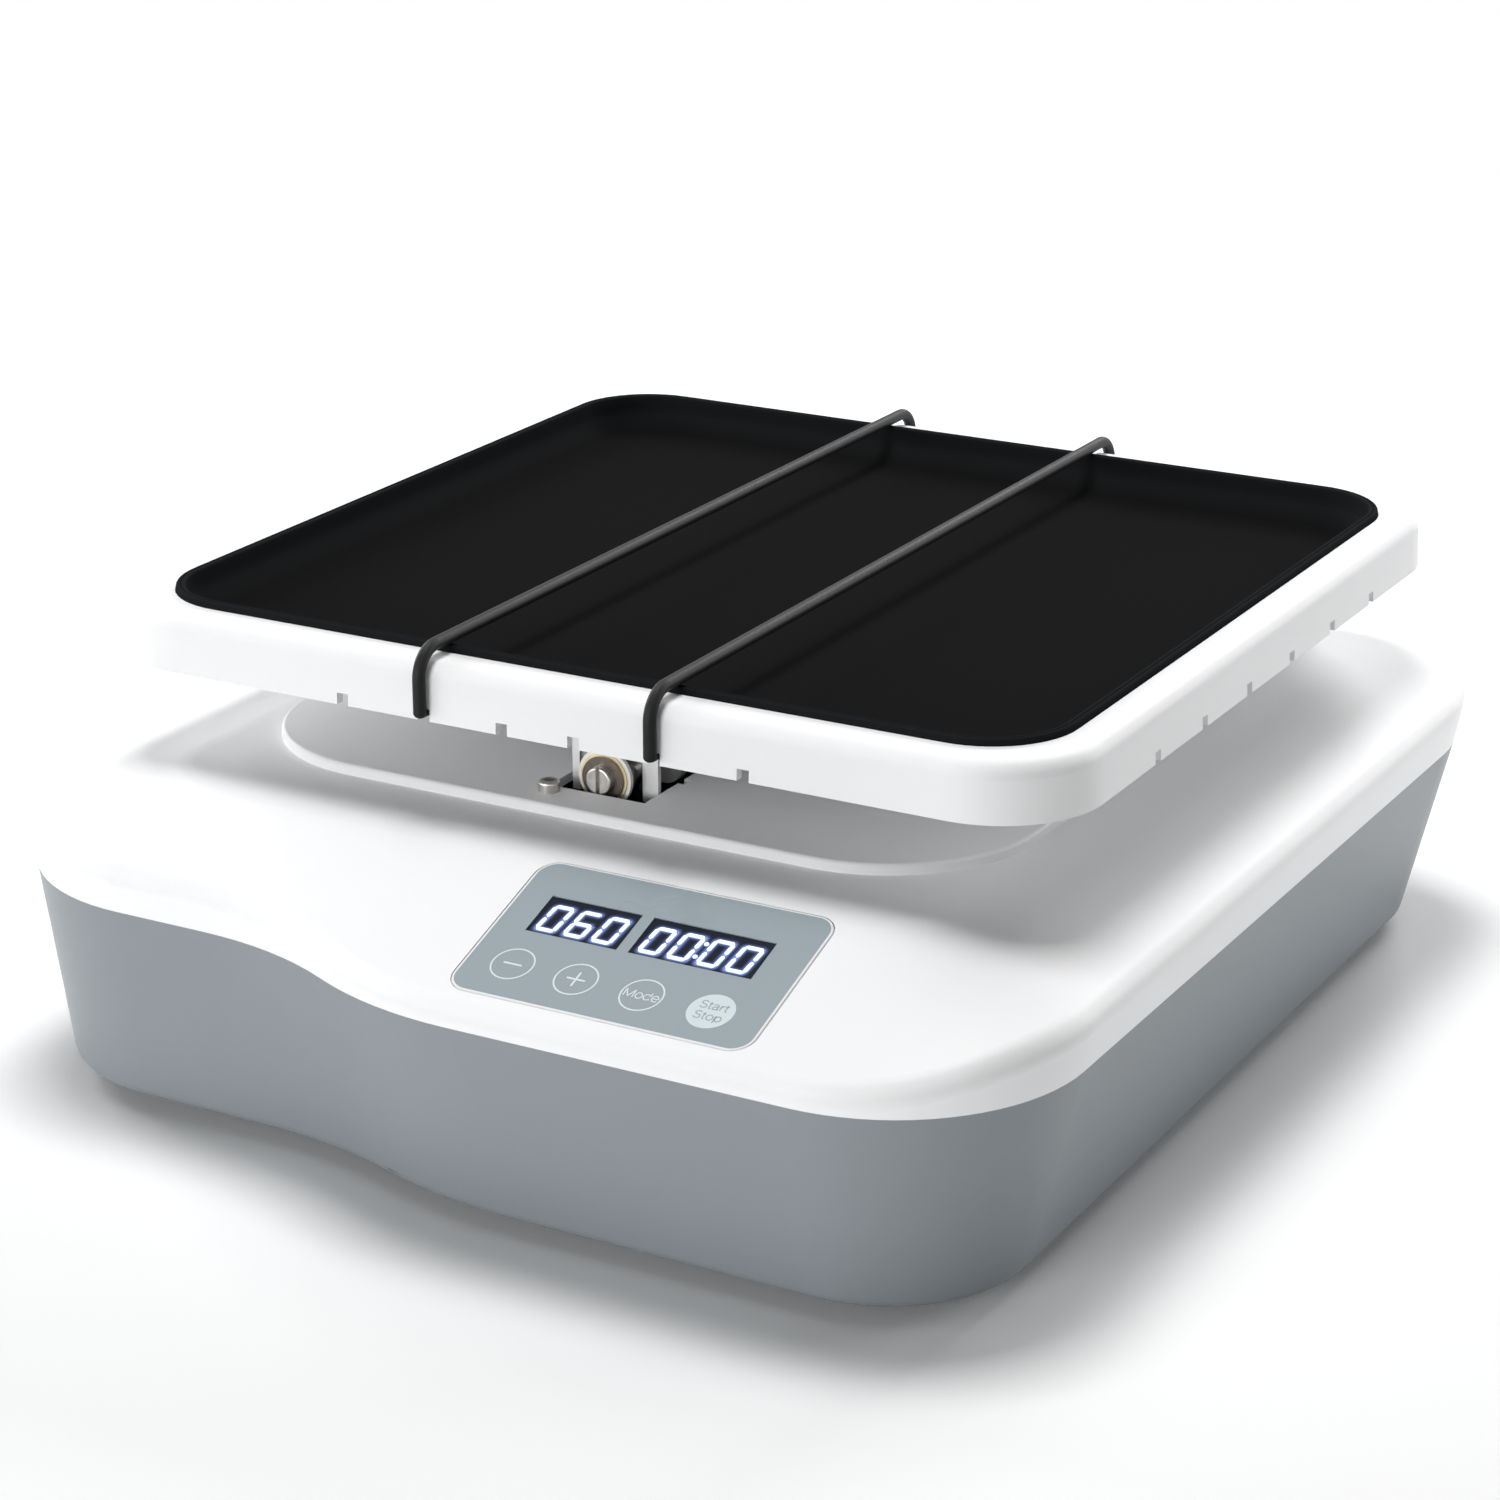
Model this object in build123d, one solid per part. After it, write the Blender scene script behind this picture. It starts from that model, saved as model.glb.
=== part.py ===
"""Rocking (destaining) shaker for a lab bench, in millimetres, +Z up, control panel towards -Y.

The origin is on the bench, under the middle of the base. The white platform rocks about an axis
along Y; a gearmotor in the base drives it through a crank pin in a forked arm.
"""

from math import atan, cos, radians, sin, tan
import os

from build123d import *

# Plan of the base where the grey housing meets the white cover
base_width = 370.0
base_depth = 420.0
front_corner_radius = 60.0
lobe_corner_radius = 64.0
back_corner_radius = 66.0
step_setback = 24.0        # the left part of the front stands back by this much
step_run = 104.0           # length along X of the S between the two parts
step_centre_x = -37.0
step_drift = 0.85          # the S moves along X by this share of the wall's inset

# Plan inset of the housing at its underside, for each wall
inset_left = 8.6
inset_right = 16.0
inset_front = 15.5
inset_lobe = 8.0
inset_back = 12.0

# Heights and walls of the base
foot_height = 5.0
housing_height = 65.5
wall = 3.0
housing_edge_radius = 4.0
tongue_height = 2.5       # of the housing, inside the cover's wall
tongue_thickness = 1.4

# Upper cover
cover_lean = 10.5          # degrees that its wall leans outwards
edge_rise = 18.0           # deck above the joint line, at the sides and the back
deck_rise = 29.5           # deck above the joint line, in the middle
side_slope_run = 48.0
back_slope_run = 46.0
console_run = 64.6         # the console slopes over this depth behind the front
console_slope = 18.8       # degrees
ridge_radius = 24.0
corner_ridge_radius = 110.0
cover_edge_radius = 6.5

# Raised island on the deck and its openings
island_rise = 3.5
island_width = 262.0
island_depth = 284.0
island_radius = 50.0
island_edge_radius = 1.2
opening_width = 34.0
end_opening_depth = 60.0
end_opening_offset = 97.0  # middle of each end opening, from the platform's middle
drive_opening_depth = 50.0
bite_width = 4.0
bite_depth = 2.2
bite_offset = 105.0

# Platform: a tray frame with a skirt
platform_centre_y = 24.0
platform_lift = 23.3       # skirt edge above the rocking axis
platform_width = 335.2
platform_depth = 320.0
platform_radius = 33.0
platform_height = 18.0
platform_draft = 2.0
platform_edge_radius = 5.0
platform_wall = 3.0
notch_count = 6
notch_width = 4.0
notch_height = 3.7
front_notches = (12.5, 40.0, 69.6)  # each side of the middle
notch_pitch_side = 35.0
notch_depth = 4.2          # through the skirt
rib_places = (-110.0, -62.0, 62.0, 110.0)
cross_rib_places = (-100.0, -50.0, 50.0, 100.0)
cross_rib_start = 46.0
rib_thickness = 2.0
rib_clearance = 0.6        # ribs above the skirt's edge

# Rubber mat in the platform
mat_width = 310.9
mat_depth = 293.7
mat_radius = 28.0
mat_proud = 2.0            # lip above the platform's rim
mat_well = 12.0            # depth from lip to floor
mat_floor = 2.4
mat_lip_width = 5.5
mat_groove_width = 1.0
mat_groove_depth = 0.6
mat_floor_radius = 8.0
mat_lip_radius = 0.8

# Hold-down cords
cord_diameter = 4.0
cord_notch = 1             # counted from the middle, 0 is the nearest pair of notches
cord_rim_radius = 9.0
cord_end_radius = 1.6      # rounded lower ends of the thick run
cord_end_rise = 1.5        # above the skirt's edge
cord_gap = 0.05            # to the skirt
cord_neck = (3.6, 2.0)     # flattened neck through the notch: width, height
stop_diameter = 5.0
stop_length = 4.0

# Pivot
pivot_rise = 36.7          # rocking axis above the joint line
shaft_diameter = 8.0
post_offset = 109.0        # middle of each post from the platform's middle
post_width = 16.0
post_thickness = 12.0
post_head_radius = 8.4
post_hub_length = 4.5      # on the outer side
post_foot_width = 64.0
post_foot_depth = 36.0
post_foot_height = 6.0
post_gusset_width = 28.0   # at the foot
post_gusset_height = 44.0
post_screw_inset = 7.0
post_screw_pitch = 22.0
bush_outer = 12.0
bush_flange = 15.6
bush_flange_thickness = 1.0
nylon_washer_diameter = 18.6
nylon_washer_thickness = 1.4
brass_washer_diameter = 16.2
brass_washer_thickness = 0.6
steel_washer_diameter = 14.4
steel_washer_thickness = 0.8
end_screw_diameter = 5.0
end_screw_length = 12.0
end_screw_head = 8.8
end_screw_head_height = 2.8
end_screw_edge = 0.6
screw_slot_width = 1.5
screw_slot_depth = 1.5

# Bracket under the platform
bracket_width = 80.0
bracket_thickness = 3.0
bracket_screw_pitch = 90.0
bracket_screw_inset = 8.0
bracket_overhang = 13.0    # plate past the middle of each post
leg_span = 30.6            # over the two legs beside each post's hub
leg_width = 2.6
right_leg_width = 5.5
leg_depth = 1.7
leg_drop = 8.0             # legs below the rocking axis
leg_offset = 114.3         # from the platform's middle
hanger_width = 24.0
hanger_offset = 94.0
hanger_thickness = 4.0
hanger_drop = 9.0

# Round-headed post on the island
guide_x = -14.4
guide_offset = 131.2
guide_diameter = 6.8
guide_height = 3.5
guide_stem = 4.0
guide_socket = 3.6
guide_socket_depth = 1.6

# Drive: forked arm, crank and gearmotor
crank_drop = 57.2          # crank axis below the rocking axis
rock_limit = 7.0           # degrees each way
fork_thickness = 6.0
fork_arm_width = 14.0
fork_tine = 6.0
fork_hub_diameter = 22.0
fork_hub_length = 14.0
fork_play = 1.5            # side play of the roller in the fork
fork_reach = 2.0           # tines past the lowest place of the roller
crank_diameter = 44.0
crank_thickness = 8.0
crank_offset = 12.0        # middle of the disc in front of the fork
pin_diameter = 6.0
pin_shoulder = 9.0
roller_diameter = 12.0
roller_length = 7.0
clip_diameter = 10.0
clip_thickness = 1.0
output_diameter = 8.0
gearbox_diameter = 42.0
gearbox_length = 32.0
motor_diameter = 37.0
motor_length = 42.0
motor_plug = 7.0
motor_plate_offset = 20.5  # middle of the bracket's plate in front of the fork
motor_plate = 3.0
motor_plate_width = 66.0
motor_plate_top = 26.0     # plate above the crank axis
motor_foot = 40.0
motor_screw_circle = 31.0

# Chassis plate and the screws that hold the base together
chassis_side_room = 45.0   # between the base's widest plan and the plate
chassis_front_room = 60.0
chassis_back_room = 40.0
chassis_thickness = 3.0
chassis_radius = 30.0
chassis_stand = 8.0
boss_inset_side = 15.0     # screw bosses from the plate's edges
boss_inset_front = 42.0
boss_inset_back = 46.0
case_inset_side = 35.0     # case screws from the base's widest plan
case_inset_front = 47.0
case_inset_lobe = 38.0
case_inset_back = 44.0
boss_diameter = 12.0
case_boss_diameter = 11.0
case_screw_diameter = 4.0
case_screw_grip = 12.0
foot_diameter = 24.0
foot_plug = 8.0
foot_inset = 46.0

# Control panel and displays, measured on the console's slope
panel_width = 98.6
panel_depth = 59.4
panel_radius = 7.0
panel_thickness = 1.5
panel_proud = 0.1
panel_x = 59.0
panel_front = 6.3          # lower edge of the panel from the front of the base, along Y
display_height = 16.1
display_v = 7.1            # middle of the displays above the panel's middle
speed_width = 30.4
speed_u = -23.2
timer_width = 39.9
timer_u = 15.9
display_sink = 0.35        # display face under the panel's face
display_body = 8.5
digit_height = 11.7
digit_width = 7.0
digit_pitch = 9.35
digit_drop = 0.9           # digits below the middle of the display
colon_gap = 0.4
colon_dot = 1.5
segment_width = 1.3
segment_gap = 0.25
segment_thickness = 0.25
digit_lean = 6.0
board_width = 88.0
board_depth = 50.0
board_thickness = 1.6
board_boss = 7.0
board_socket = 6.0

# Recess with the mains inlet and the switch, in the back wall
recess_width = 104.0
recess_right = -8.0
recess_bottom = 20.0
recess_top = 62.0
recess_depth = 16.0
inlet_inset = 34.0         # middle of the inlet from the recess's left end
inlet_flange_width = 50.0
inlet_flange_height = 24.0
inlet_flange_thickness = 3.0
inlet_body_width = 28.0
inlet_body_height = 20.5
inlet_body_depth = 18.0
inlet_cavity_width = 24.0
inlet_cavity_height = 16.0
inlet_cavity_depth = 17.0
inlet_pin_length = 12.0
inlet_pin_pitch = 14.0
inlet_pin_drop = 2.0
inlet_tag = 6.0
inlet_screw_pitch = 40.0
switch_inset = 22.0        # middle of the switch from the recess's right end
switch_width = 15.0
switch_height = 21.0
switch_depth = 14.0
switch_rim = 2.0
switch_wall = 1.5
rocker_angle = 16.0        # degrees between off and on
rocker_pin = 3.0
rocker_sink = 2.0          # pin behind the recess's face
rocker_back = 6.0          # behind the pin
rocker_taper = 1.4
rocker_tips = 5.1          # in front of the pin, at both ends
rocker_dip = 3.9           # in front of the pin, in the middle
rocker_side_play = 0.2
rocker_end_play = 1.0

# Power board
supply_side_room = 14.0    # from the chassis plate's left edge
supply_back_room = 6.0
supply_width = 76.0
supply_depth = 104.0
supply_stand = 6.0
supply_plug = 10.0

# Internal leads
lead_diameter = 4.0

# Inner screws: diameters, and their heads as shares of the diameter
post_screw = 5.0
bracket_screw = 5.0
chassis_screw = 4.0
motor_foot_screw = 4.0
gearbox_screw = 3.0
inlet_screw = 3.0
supply_screw = 3.0
board_screw = 2.5
screw_head = 1.85
screw_head_height = 0.65
screw_socket = 0.42

# Fits
seat_gap = 0.3             # round a part that lies in a pocket
tongue_play = 0.15
bore_play = 0.03           # radial, shaft in a bush
groove_play = 0.8          # radial, shaft in its groove across the island
press_play = 0.01          # radial, parts that are pressed or screwed together
hole_play = 0.25           # radial, screw through a plate

# Worked out from the sizes above
joint_z = foot_height + housing_height
deck_z = joint_z + deck_rise
island_z = deck_z + island_rise
pivot_z = joint_z + pivot_rise
crank_z = pivot_z - crank_drop
through_deck = (deck_z - 3 * wall, island_z + 1)
platform_z = pivot_z + platform_lift
rim_z = platform_z + platform_height
lip_z = rim_z + mat_proud
mat_floor_z = lip_z - mat_well
mat_seat_z = mat_floor_z - mat_floor
tray_under_z = mat_seat_z - platform_wall
chassis_z = foot_height + wall + chassis_stand
chassis_top = chassis_z + chassis_thickness
front_y = -base_depth / 2
back_y = base_depth / 2
console_ridge_y = front_y + console_run
recess_face_y = back_y - recess_depth
recess_left = recess_right - recess_width
inlet_x = recess_left + inlet_inset
switch_x = recess_right - switch_inset
rocker_pivot_y = recess_face_y - rocker_sink
connector_z = (recess_bottom + recess_top) / 2
crank_throw = crank_drop * tan(radians(rock_limit))
yc = platform_centre_y
post_outer = post_offset + post_thickness / 2
hub_face = post_outer + post_hub_length
nylon_start = hub_face + bush_flange_thickness + 0.2
brass_start = nylon_start + nylon_washer_thickness
shaft_end = brass_start + brass_washer_thickness
head_start = shaft_end + steel_washer_thickness


def cylinder_y(radius, y0, y1, x=0.0, z=0.0):
    """Round bar along Y between two places."""
    return Pos(x, (y0 + y1) / 2, z) * Rot(90, 0, 0) * Cylinder(radius, abs(y1 - y0))


def cylinder_z(radius, z0, z1, x=0.0, y=0.0):
    """Round bar along Z between two heights."""
    return Pos(x, y, (z0 + z1) / 2) * Cylinder(radius, abs(z1 - z0))


def block(x0, x1, y0, y1, z0, z1):
    """Box between two corners."""
    size = (abs(x1 - x0), abs(y1 - y0), abs(z1 - z0))
    return Pos((x0 + x1) / 2, (y0 + y1) / 2, (z0 + z1) / 2) * Box(*size)


def ring_y(outer, inner, y0, y1, x=0.0, z=0.0):
    """Washer or tube along Y."""
    return cylinder_y(outer, y0, y1, x, z) - cylinder_y(inner, y0 - 1, y1 + 1, x, z)


def rounded_slab(width, depth, radius, z0, z1, y=0.0, x=0.0):
    """Plate with rounded corners in plan."""
    return Pos(x, y, z0) * extrude(RectangleRounded(width, depth, radius), z1 - z0)


def screw(diameter, length):
    """Pan-head socket screw along Z: the head's underside at zero, the shank below it."""
    head_height = screw_head_height * diameter
    head = cylinder_z(screw_head * diameter / 2, 0, head_height)
    drive = extrude(RegularPolygon(screw_socket * diameter, 6), head_height)
    return head + cylinder_z(diameter / 2, -length, 0) - Pos(0, 0, head_height / 2) * drive


chassis_width = base_width - 2 * chassis_side_room
chassis_front = front_y + chassis_front_room
chassis_back = back_y - chassis_back_room
supply_x = supply_side_room + supply_width / 2 - chassis_width / 2
supply_y = chassis_back - supply_back_room - supply_depth / 2


def chassis_bosses():
    """Screw places of the chassis plate, in two rows."""
    x = chassis_width / 2 - boss_inset_side
    ends = (chassis_front + boss_inset_front, chassis_back - boss_inset_back)
    return [(side * x, y) for side in (-1, 1) for y in (ends[0], sum(ends) / 2, ends[1])]


def case_bosses():
    """Screw places that join the housing and the cover, near the corners."""
    x = base_width / 2 - case_inset_side
    y = back_y - case_inset_back
    left_y = front_y + step_setback + case_inset_lobe
    return [(-x, left_y), (x, front_y + case_inset_front), (x, y), (-x, y)]


def outline(left, right, front, lobe, back):
    """Plan of the base as a face, with each wall moved in by its own amount."""
    x0 = -base_width / 2 + left
    x1 = base_width / 2 - right
    y0 = front_y + front
    y1 = front_y + step_setback + lobe
    y2 = back_y - back
    step = y1 - y0
    lean = 2 * atan(step / step_run)
    half = step / 2 / tan(lean)
    centre = step_centre_x + step_drift * front
    step_radius = 0.49 * step_run / sin(lean)
    corners = [
        ((x0, y1), lobe_corner_radius - (left + lobe) / 2),
        ((centre - half, y1), step_radius),
        ((centre + half, y0), step_radius),
        ((x1, y0), front_corner_radius - (right + front) / 2),
        ((x1, y2), back_corner_radius - (right + back) / 2),
        ((x0, y2), back_corner_radius - (left + back) / 2),
    ]
    face = Face(Wire.make_polygon([point for point, _ in corners], close=True))
    for point, radius in corners:
        corner = face.vertices().sort_by_distance(Vector(*point))[0]
        face = face.fillet_2d(radius, [corner])
    return face


def housing_outline(z, inward=0.0):
    """Plan of the grey housing at a height."""
    share = (joint_z - z) / housing_height
    walls = (inset_left, inset_right, inset_front, inset_lobe, inset_back)
    return Pos(0, 0, z) * outline(*[share * inset + inward for inset in walls])


def tongue_ring(outer_play, inner_play, height):
    """Ring on the inner half of the wall, above the joint line."""
    outer = outline(*[wall - tongue_thickness - outer_play] * 5)
    inner = outline(*[wall + inner_play] * 5)
    return Pos(0, 0, joint_z) * (extrude(outer, height) - extrude(inner, height))


def cover_block(inward=0.0):
    """Leaning walls of the white cover, taller than the deck."""
    height = 2 * deck_rise
    spread = height * tan(radians(cover_lean))
    low = Pos(0, 0, joint_z) * outline(*[inward] * 5)
    high = Pos(0, 0, joint_z + height) * outline(*[inward - spread] * 5)
    return loft([low, high], ruled=True)


def deck_form(drop=0.0):
    """Everything under the deck: a flat middle with four slopes, lowered by a wall."""
    depth = 2 * deck_rise
    side_run = depth * (side_slope_run + 2) / (deck_rise - edge_rise)
    back_run = depth * (back_slope_run + 2) / (deck_rise - edge_rise)
    front_run = depth / tan(radians(console_slope))
    ridge_x = base_width / 2 - side_slope_run
    ridge_back = back_y - back_slope_run

    def level(side, front, back, z):
        """One level of the form."""
        corners = [(-ridge_x - side, console_ridge_y - front), (ridge_x + side, console_ridge_y - front)]
        corners += [(ridge_x + side, ridge_back + back), (-ridge_x - side, ridge_back + back)]
        return Pos(0, 0, z) * Face(Wire.make_polygon(corners, close=True))

    top = level(0, 0, 0, deck_z - drop)
    low = level(side_run, front_run, back_run, deck_z - drop - depth)
    form = loft([low, top], ruled=True)
    corners = [edge for edge in form.edges() if edge.bounding_box().size.Z > depth / 2]
    form = fillet(corners, corner_ridge_radius)
    ridges = [edge for edge in form.edges() if edge.bounding_box().min.Z > deck_z - drop - 0.01]
    return fillet(ridges, ridge_radius)


def rim_edges(solid, z_base):
    """Edges where the walls that stand on a level meet the top."""
    edges = []
    for face in solid.faces():
        box = face.bounding_box()
        if abs(box.min.Z - z_base) < 0.01 and box.size.Z > 1:
            edges += [edge for edge in face.edges() if edge.bounding_box().min.Z > z_base + 1]
    return edges


def island_slab(inward, z0, z1):
    """The island's plan between two heights."""
    size = (island_width - 2 * inward, island_depth - 2 * inward)
    return rounded_slab(*size, island_radius - inward, z0, z1, yc)


def console(part):
    """Move a part from the panel's own frame onto the console's slope."""
    lean = radians(console_slope)
    reach = panel_depth / 2 * cos(lean)
    y = front_y + panel_front + reach
    z = deck_z - (console_ridge_y - y) * tan(lean)
    place = Plane(origin=(panel_x, y, z), x_dir=(1, 0, 0), z_dir=(0, -sin(lean), cos(lean)))
    return place.location * part


def display_places():
    """Middle and width of the two displays in the panel's frame."""
    return [(speed_u, speed_width), (timer_u, timer_width)]


def windows(play, z0, z1):
    """Openings for the two displays, in the panel's frame."""
    cuts = Part()
    for u, width in display_places():
        height = display_height + 2 * play
        x0, x1 = u - width / 2 - play, u + width / 2 + play
        cuts += block(x0, x1, display_v - height / 2, display_v + height / 2, z0, z1)
    return cuts


board_z = panel_proud - panel_thickness - display_body - 1.0
board_bosses = [(x, y) for x in (-board_width / 2 + 5, board_width / 2 - 5)
                for y in (-board_depth / 2 + 5, board_depth / 2 - 5)]


def make_upper_cover():
    """White cover: leaning walls, sloped console, deck, island and openings."""
    cover = cover_block() & deck_form()
    size = (panel_width + 2 * seat_gap, panel_depth + 2 * seat_gap)
    pocket = extrude(RectangleRounded(*size, panel_radius + seat_gap), cover_edge_radius)
    cover -= console(Pos(0, 0, panel_proud - panel_thickness) * pocket)
    cover = fillet(rim_edges(cover, joint_z), cover_edge_radius)
    island = island_slab(0, deck_z - 2, island_z)
    top = [edge for edge in island.edges() if edge.bounding_box().min.Z > island_z - 0.01]
    cover += fillet(top, island_edge_radius)
    cover -= cover_block(wall) & deck_form(wall)
    cover -= island_slab(wall, deck_z - wall - 1, island_z - wall)
    cover -= tongue_ring(tongue_play, 1.0, tongue_height + tongue_play)
    cover -= console(windows(seat_gap, -12, 5))
    half = opening_width / 2
    for side in (-1, 1):
        middle = yc + side * end_opening_offset
        reach = end_opening_depth / 2
        cover -= block(-half, half, middle - reach, middle + reach, *through_deck)
    reach = drive_opening_depth / 2
    cover -= block(-half, half, yc - reach, yc + reach, *through_deck)
    groove = shaft_diameter / 2 + groove_play
    cover -= cylinder_y(groove, yc - end_opening_offset, yc + end_opening_offset, 0, pivot_z)
    bite_y = yc - bite_offset
    bite = (half - 1, half + bite_depth, bite_y - bite_width / 2, bite_y + bite_width / 2)
    cover -= block(*bite, *through_deck)
    cover -= cylinder_z(guide_stem / 2 + press_play, *through_deck, guide_x, yc - guide_offset)
    inside = cover_block(1.0) & deck_form(1.0)
    for x, y in case_bosses():
        cover += cylinder_z(case_boss_diameter / 2, joint_z, deck_z, x, y) & inside
    for x, y in case_bosses():
        hole = case_screw_diameter / 2 + press_play
        cover -= cylinder_z(hole, joint_z - 1, joint_z + case_screw_grip, x, y)
    for u, v in board_bosses:
        cover += console(cylinder_z(board_boss / 2, board_z, panel_proud - panel_thickness - 1, u, v))
    for u, v in board_bosses:
        cover -= console(cylinder_z(board_screw / 2 + press_play, board_z - 1, board_z + 5, u, v))
    return cover


def make_lower_housing():
    """Grey tub with its bosses and the recess for the mains inlet."""
    tub = loft([housing_outline(foot_height), housing_outline(joint_z)], ruled=True)
    low = [edge for edge in tub.edges() if edge.bounding_box().max.Z < foot_height + 0.01]
    tub = fillet(low, housing_edge_radius)
    floor_z = foot_height + wall
    outer = tub
    tub -= loft([housing_outline(floor_z, wall), housing_outline(joint_z, wall)], ruled=True)
    for x, y in chassis_bosses():
        tub += cylinder_z(boss_diameter / 2, floor_z - 1, chassis_z, x, y)
    for x, y in case_bosses():
        tub += cylinder_z(case_boss_diameter / 2, floor_z - 1, joint_z, x, y)
    shell = (recess_left - wall, recess_right + wall, recess_face_y - wall, back_y)
    tub += block(*shell, recess_bottom - wall, recess_top + wall) & outer
    pocket = (recess_left, recess_right, recess_face_y, back_y + 5)
    tub -= block(*pocket, recess_bottom, recess_top)
    tub -= connector_cut(inlet_x, inlet_body_width, inlet_body_height)
    tub -= connector_cut(switch_x, switch_width, switch_height)
    for side in (-1, 1):
        x = inlet_x + side * inlet_screw_pitch / 2
        tub -= cylinder_y(inlet_screw / 2 + press_play, recess_face_y - wall - 1, recess_face_y + 1, x,
                          connector_z)
    for x, y in chassis_bosses():
        tub -= cylinder_z(chassis_screw / 2 + press_play, floor_z + 1, chassis_z + 1, x, y)
    for x, y in case_bosses():
        tub -= cylinder_z(4.2, foot_height - 1, joint_z - case_screw_grip, x, y)
        hole = case_screw_diameter / 2 + hole_play
        tub -= cylinder_z(hole, joint_z - case_screw_grip - 1, joint_z + 1, x, y)
    for x, y in foot_places():
        tub -= cylinder_z(foot_plug / 2 + press_play, foot_height - 1, floor_z + 1, x, y)
    return tub + tongue_ring(0, 0, tongue_height)


def connector_block(x, width, height, y0, y1):
    """Box of a connector, about its middle in X and Z."""
    w, h = width / 2, height / 2
    return block(x - w, x + w, y0, y1, connector_z - h, connector_z + h)


def connector_cut(x, width, height):
    """Opening in the recess's face for a connector's body."""
    size = (width + 2 * seat_gap, height + 2 * seat_gap)
    return connector_block(x, *size, recess_face_y - wall - 1, recess_face_y + 1)


def foot_places():
    """The four feet, in from the corners of the housing's underside."""
    x = base_width / 2 - inset_right - foot_inset
    y = base_depth / 2 - inset_front - foot_inset
    return [(-x, -y + step_setback / 2), (x, -y), (x, y), (-x, y)]


def make_feet():
    """Rubber feet with a plug through the housing's floor and a rim inside."""
    feet = []
    for x, y in foot_places():
        foot = Pos(x, y, 0) * Cone(foot_diameter / 2 - 1, foot_diameter / 2, foot_height,
                                   align=(Align.CENTER, Align.CENTER, Align.MIN))
        foot += cylinder_z(foot_plug / 2, foot_height - 1, foot_height + wall + 2, x, y)
        foot += cylinder_z(foot_plug / 2 + 1, foot_height + wall, foot_height + wall + 2, x, y)
        feet.append(foot)
    return feet


def make_platform():
    """White tray frame with a hollow rim, a notched skirt and ribs underneath."""
    shrink = platform_height * tan(radians(platform_draft))
    low = Pos(0, yc, platform_z) * RectangleRounded(platform_width, platform_depth, platform_radius)
    high = Pos(0, yc, rim_z) * RectangleRounded(
        platform_width - 2 * shrink, platform_depth - 2 * shrink, platform_radius - shrink)
    body = loft([low, high], ruled=True)
    top = [edge for edge in body.edges() if edge.bounding_box().min.Z > rim_z - 0.01]
    body = fillet(top, platform_edge_radius)
    t = platform_wall
    well = (mat_width + 2 * seat_gap, mat_depth + 2 * seat_gap, mat_radius + seat_gap)
    body -= rounded_slab(*well, mat_seat_z, rim_z + 1, yc)
    inner = (platform_width - 2 * t, platform_depth - 2 * t, platform_radius - t)
    body -= rounded_slab(*inner, platform_z - 1, tray_under_z, yc)
    core = (well[0] + 2 * t, well[1] + 2 * t, well[2] + t)
    narrow = (inner[0] - 2 * shrink, inner[1] - 2 * shrink, inner[2] - shrink)
    channel = rounded_slab(*narrow, platform_z - 1, rim_z - t, yc)
    body -= channel - rounded_slab(*core, platform_z - 2, rim_z, yc)
    half = rib_thickness / 2
    heights = (platform_z + rib_clearance, tray_under_z + 1)
    for x in rib_places:
        body += block(x - half, x + half, yc - core[1] / 2, yc + core[1] / 2, *heights)
    for y in cross_rib_places:
        for side in (-1, 1):
            x0, x1 = side * cross_rib_start, side * core[0] / 2
            body += block(x0, x1, yc + y - half, yc + y + half, *heights)
    for x, y in notch_places():
        body -= notch_cut(x, y)
    for x, y in bracket_screws():
        body -= cylinder_z(bracket_screw / 2 + press_play, tray_under_z - 1, mat_seat_z + 1, x, y)
    return body


def notch_places():
    """Notches in the skirt: along X at the front and back, along Y at the sides."""
    places = []
    for x in front_notches:
        for side in (-1, 1):
            places += [(-x, yc + side * platform_depth / 2), (x, yc + side * platform_depth / 2)]
    for i in range(notch_count):
        along = i - (notch_count - 1) / 2
        for side in (-1, 1):
            places.append((side * platform_width / 2, yc + along * notch_pitch_side))
    return places


def notch_cut(x, y):
    """One notch through the skirt, open at its lower edge."""
    reach = notch_depth
    w = notch_width / 2
    z0, z1 = platform_z - 1, platform_z + notch_height
    if abs(abs(x) - platform_width / 2) < 0.01:
        return block(x - reach, x + reach, y - w, y + w, z0, z1)
    return block(x - w, x + w, y - reach, y + reach, z0, z1)


def make_mat():
    """Rubber mat: floor, upstanding wall and a lip with one fine groove."""
    body = rounded_slab(mat_width, mat_depth, mat_radius, mat_seat_z, lip_z, yc)
    lip = mat_lip_width
    size = (mat_width - 2 * lip, mat_depth - 2 * lip, mat_radius - lip)
    well = rounded_slab(*size, mat_floor_z, lip_z + 1, yc)
    low = [edge for edge in well.edges() if edge.bounding_box().max.Z < mat_floor_z + 0.01]
    body -= fillet(low, mat_floor_radius)
    top = [edge for edge in body.edges() if edge.bounding_box().min.Z > lip_z - 0.01]
    body = fillet(top, mat_lip_radius)
    inner = lip / 2 + mat_groove_width / 2
    outer = lip / 2 - mat_groove_width / 2
    z0, z1 = lip_z - mat_groove_depth, lip_z + 1
    groove = rounded_slab(mat_width - 2 * outer, mat_depth - 2 * outer, mat_radius - outer, z0, z1, yc)
    groove -= rounded_slab(
        mat_width - 2 * inner, mat_depth - 2 * inner, mat_radius - inner, z0 - 1, z1 + 1, yc)
    return body - groove


def cord_route():
    """Corners of a hold-down cord's thick run in the YZ plane, from front to back."""
    r = cord_diameter / 2
    low = platform_z + cord_end_rise
    high = lip_z + r + seat_gap
    out = platform_depth / 2 + r + cord_gap
    return [(yc - out, low), (yc - out, high), (yc + out, high), (yc + out, low)]


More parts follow.
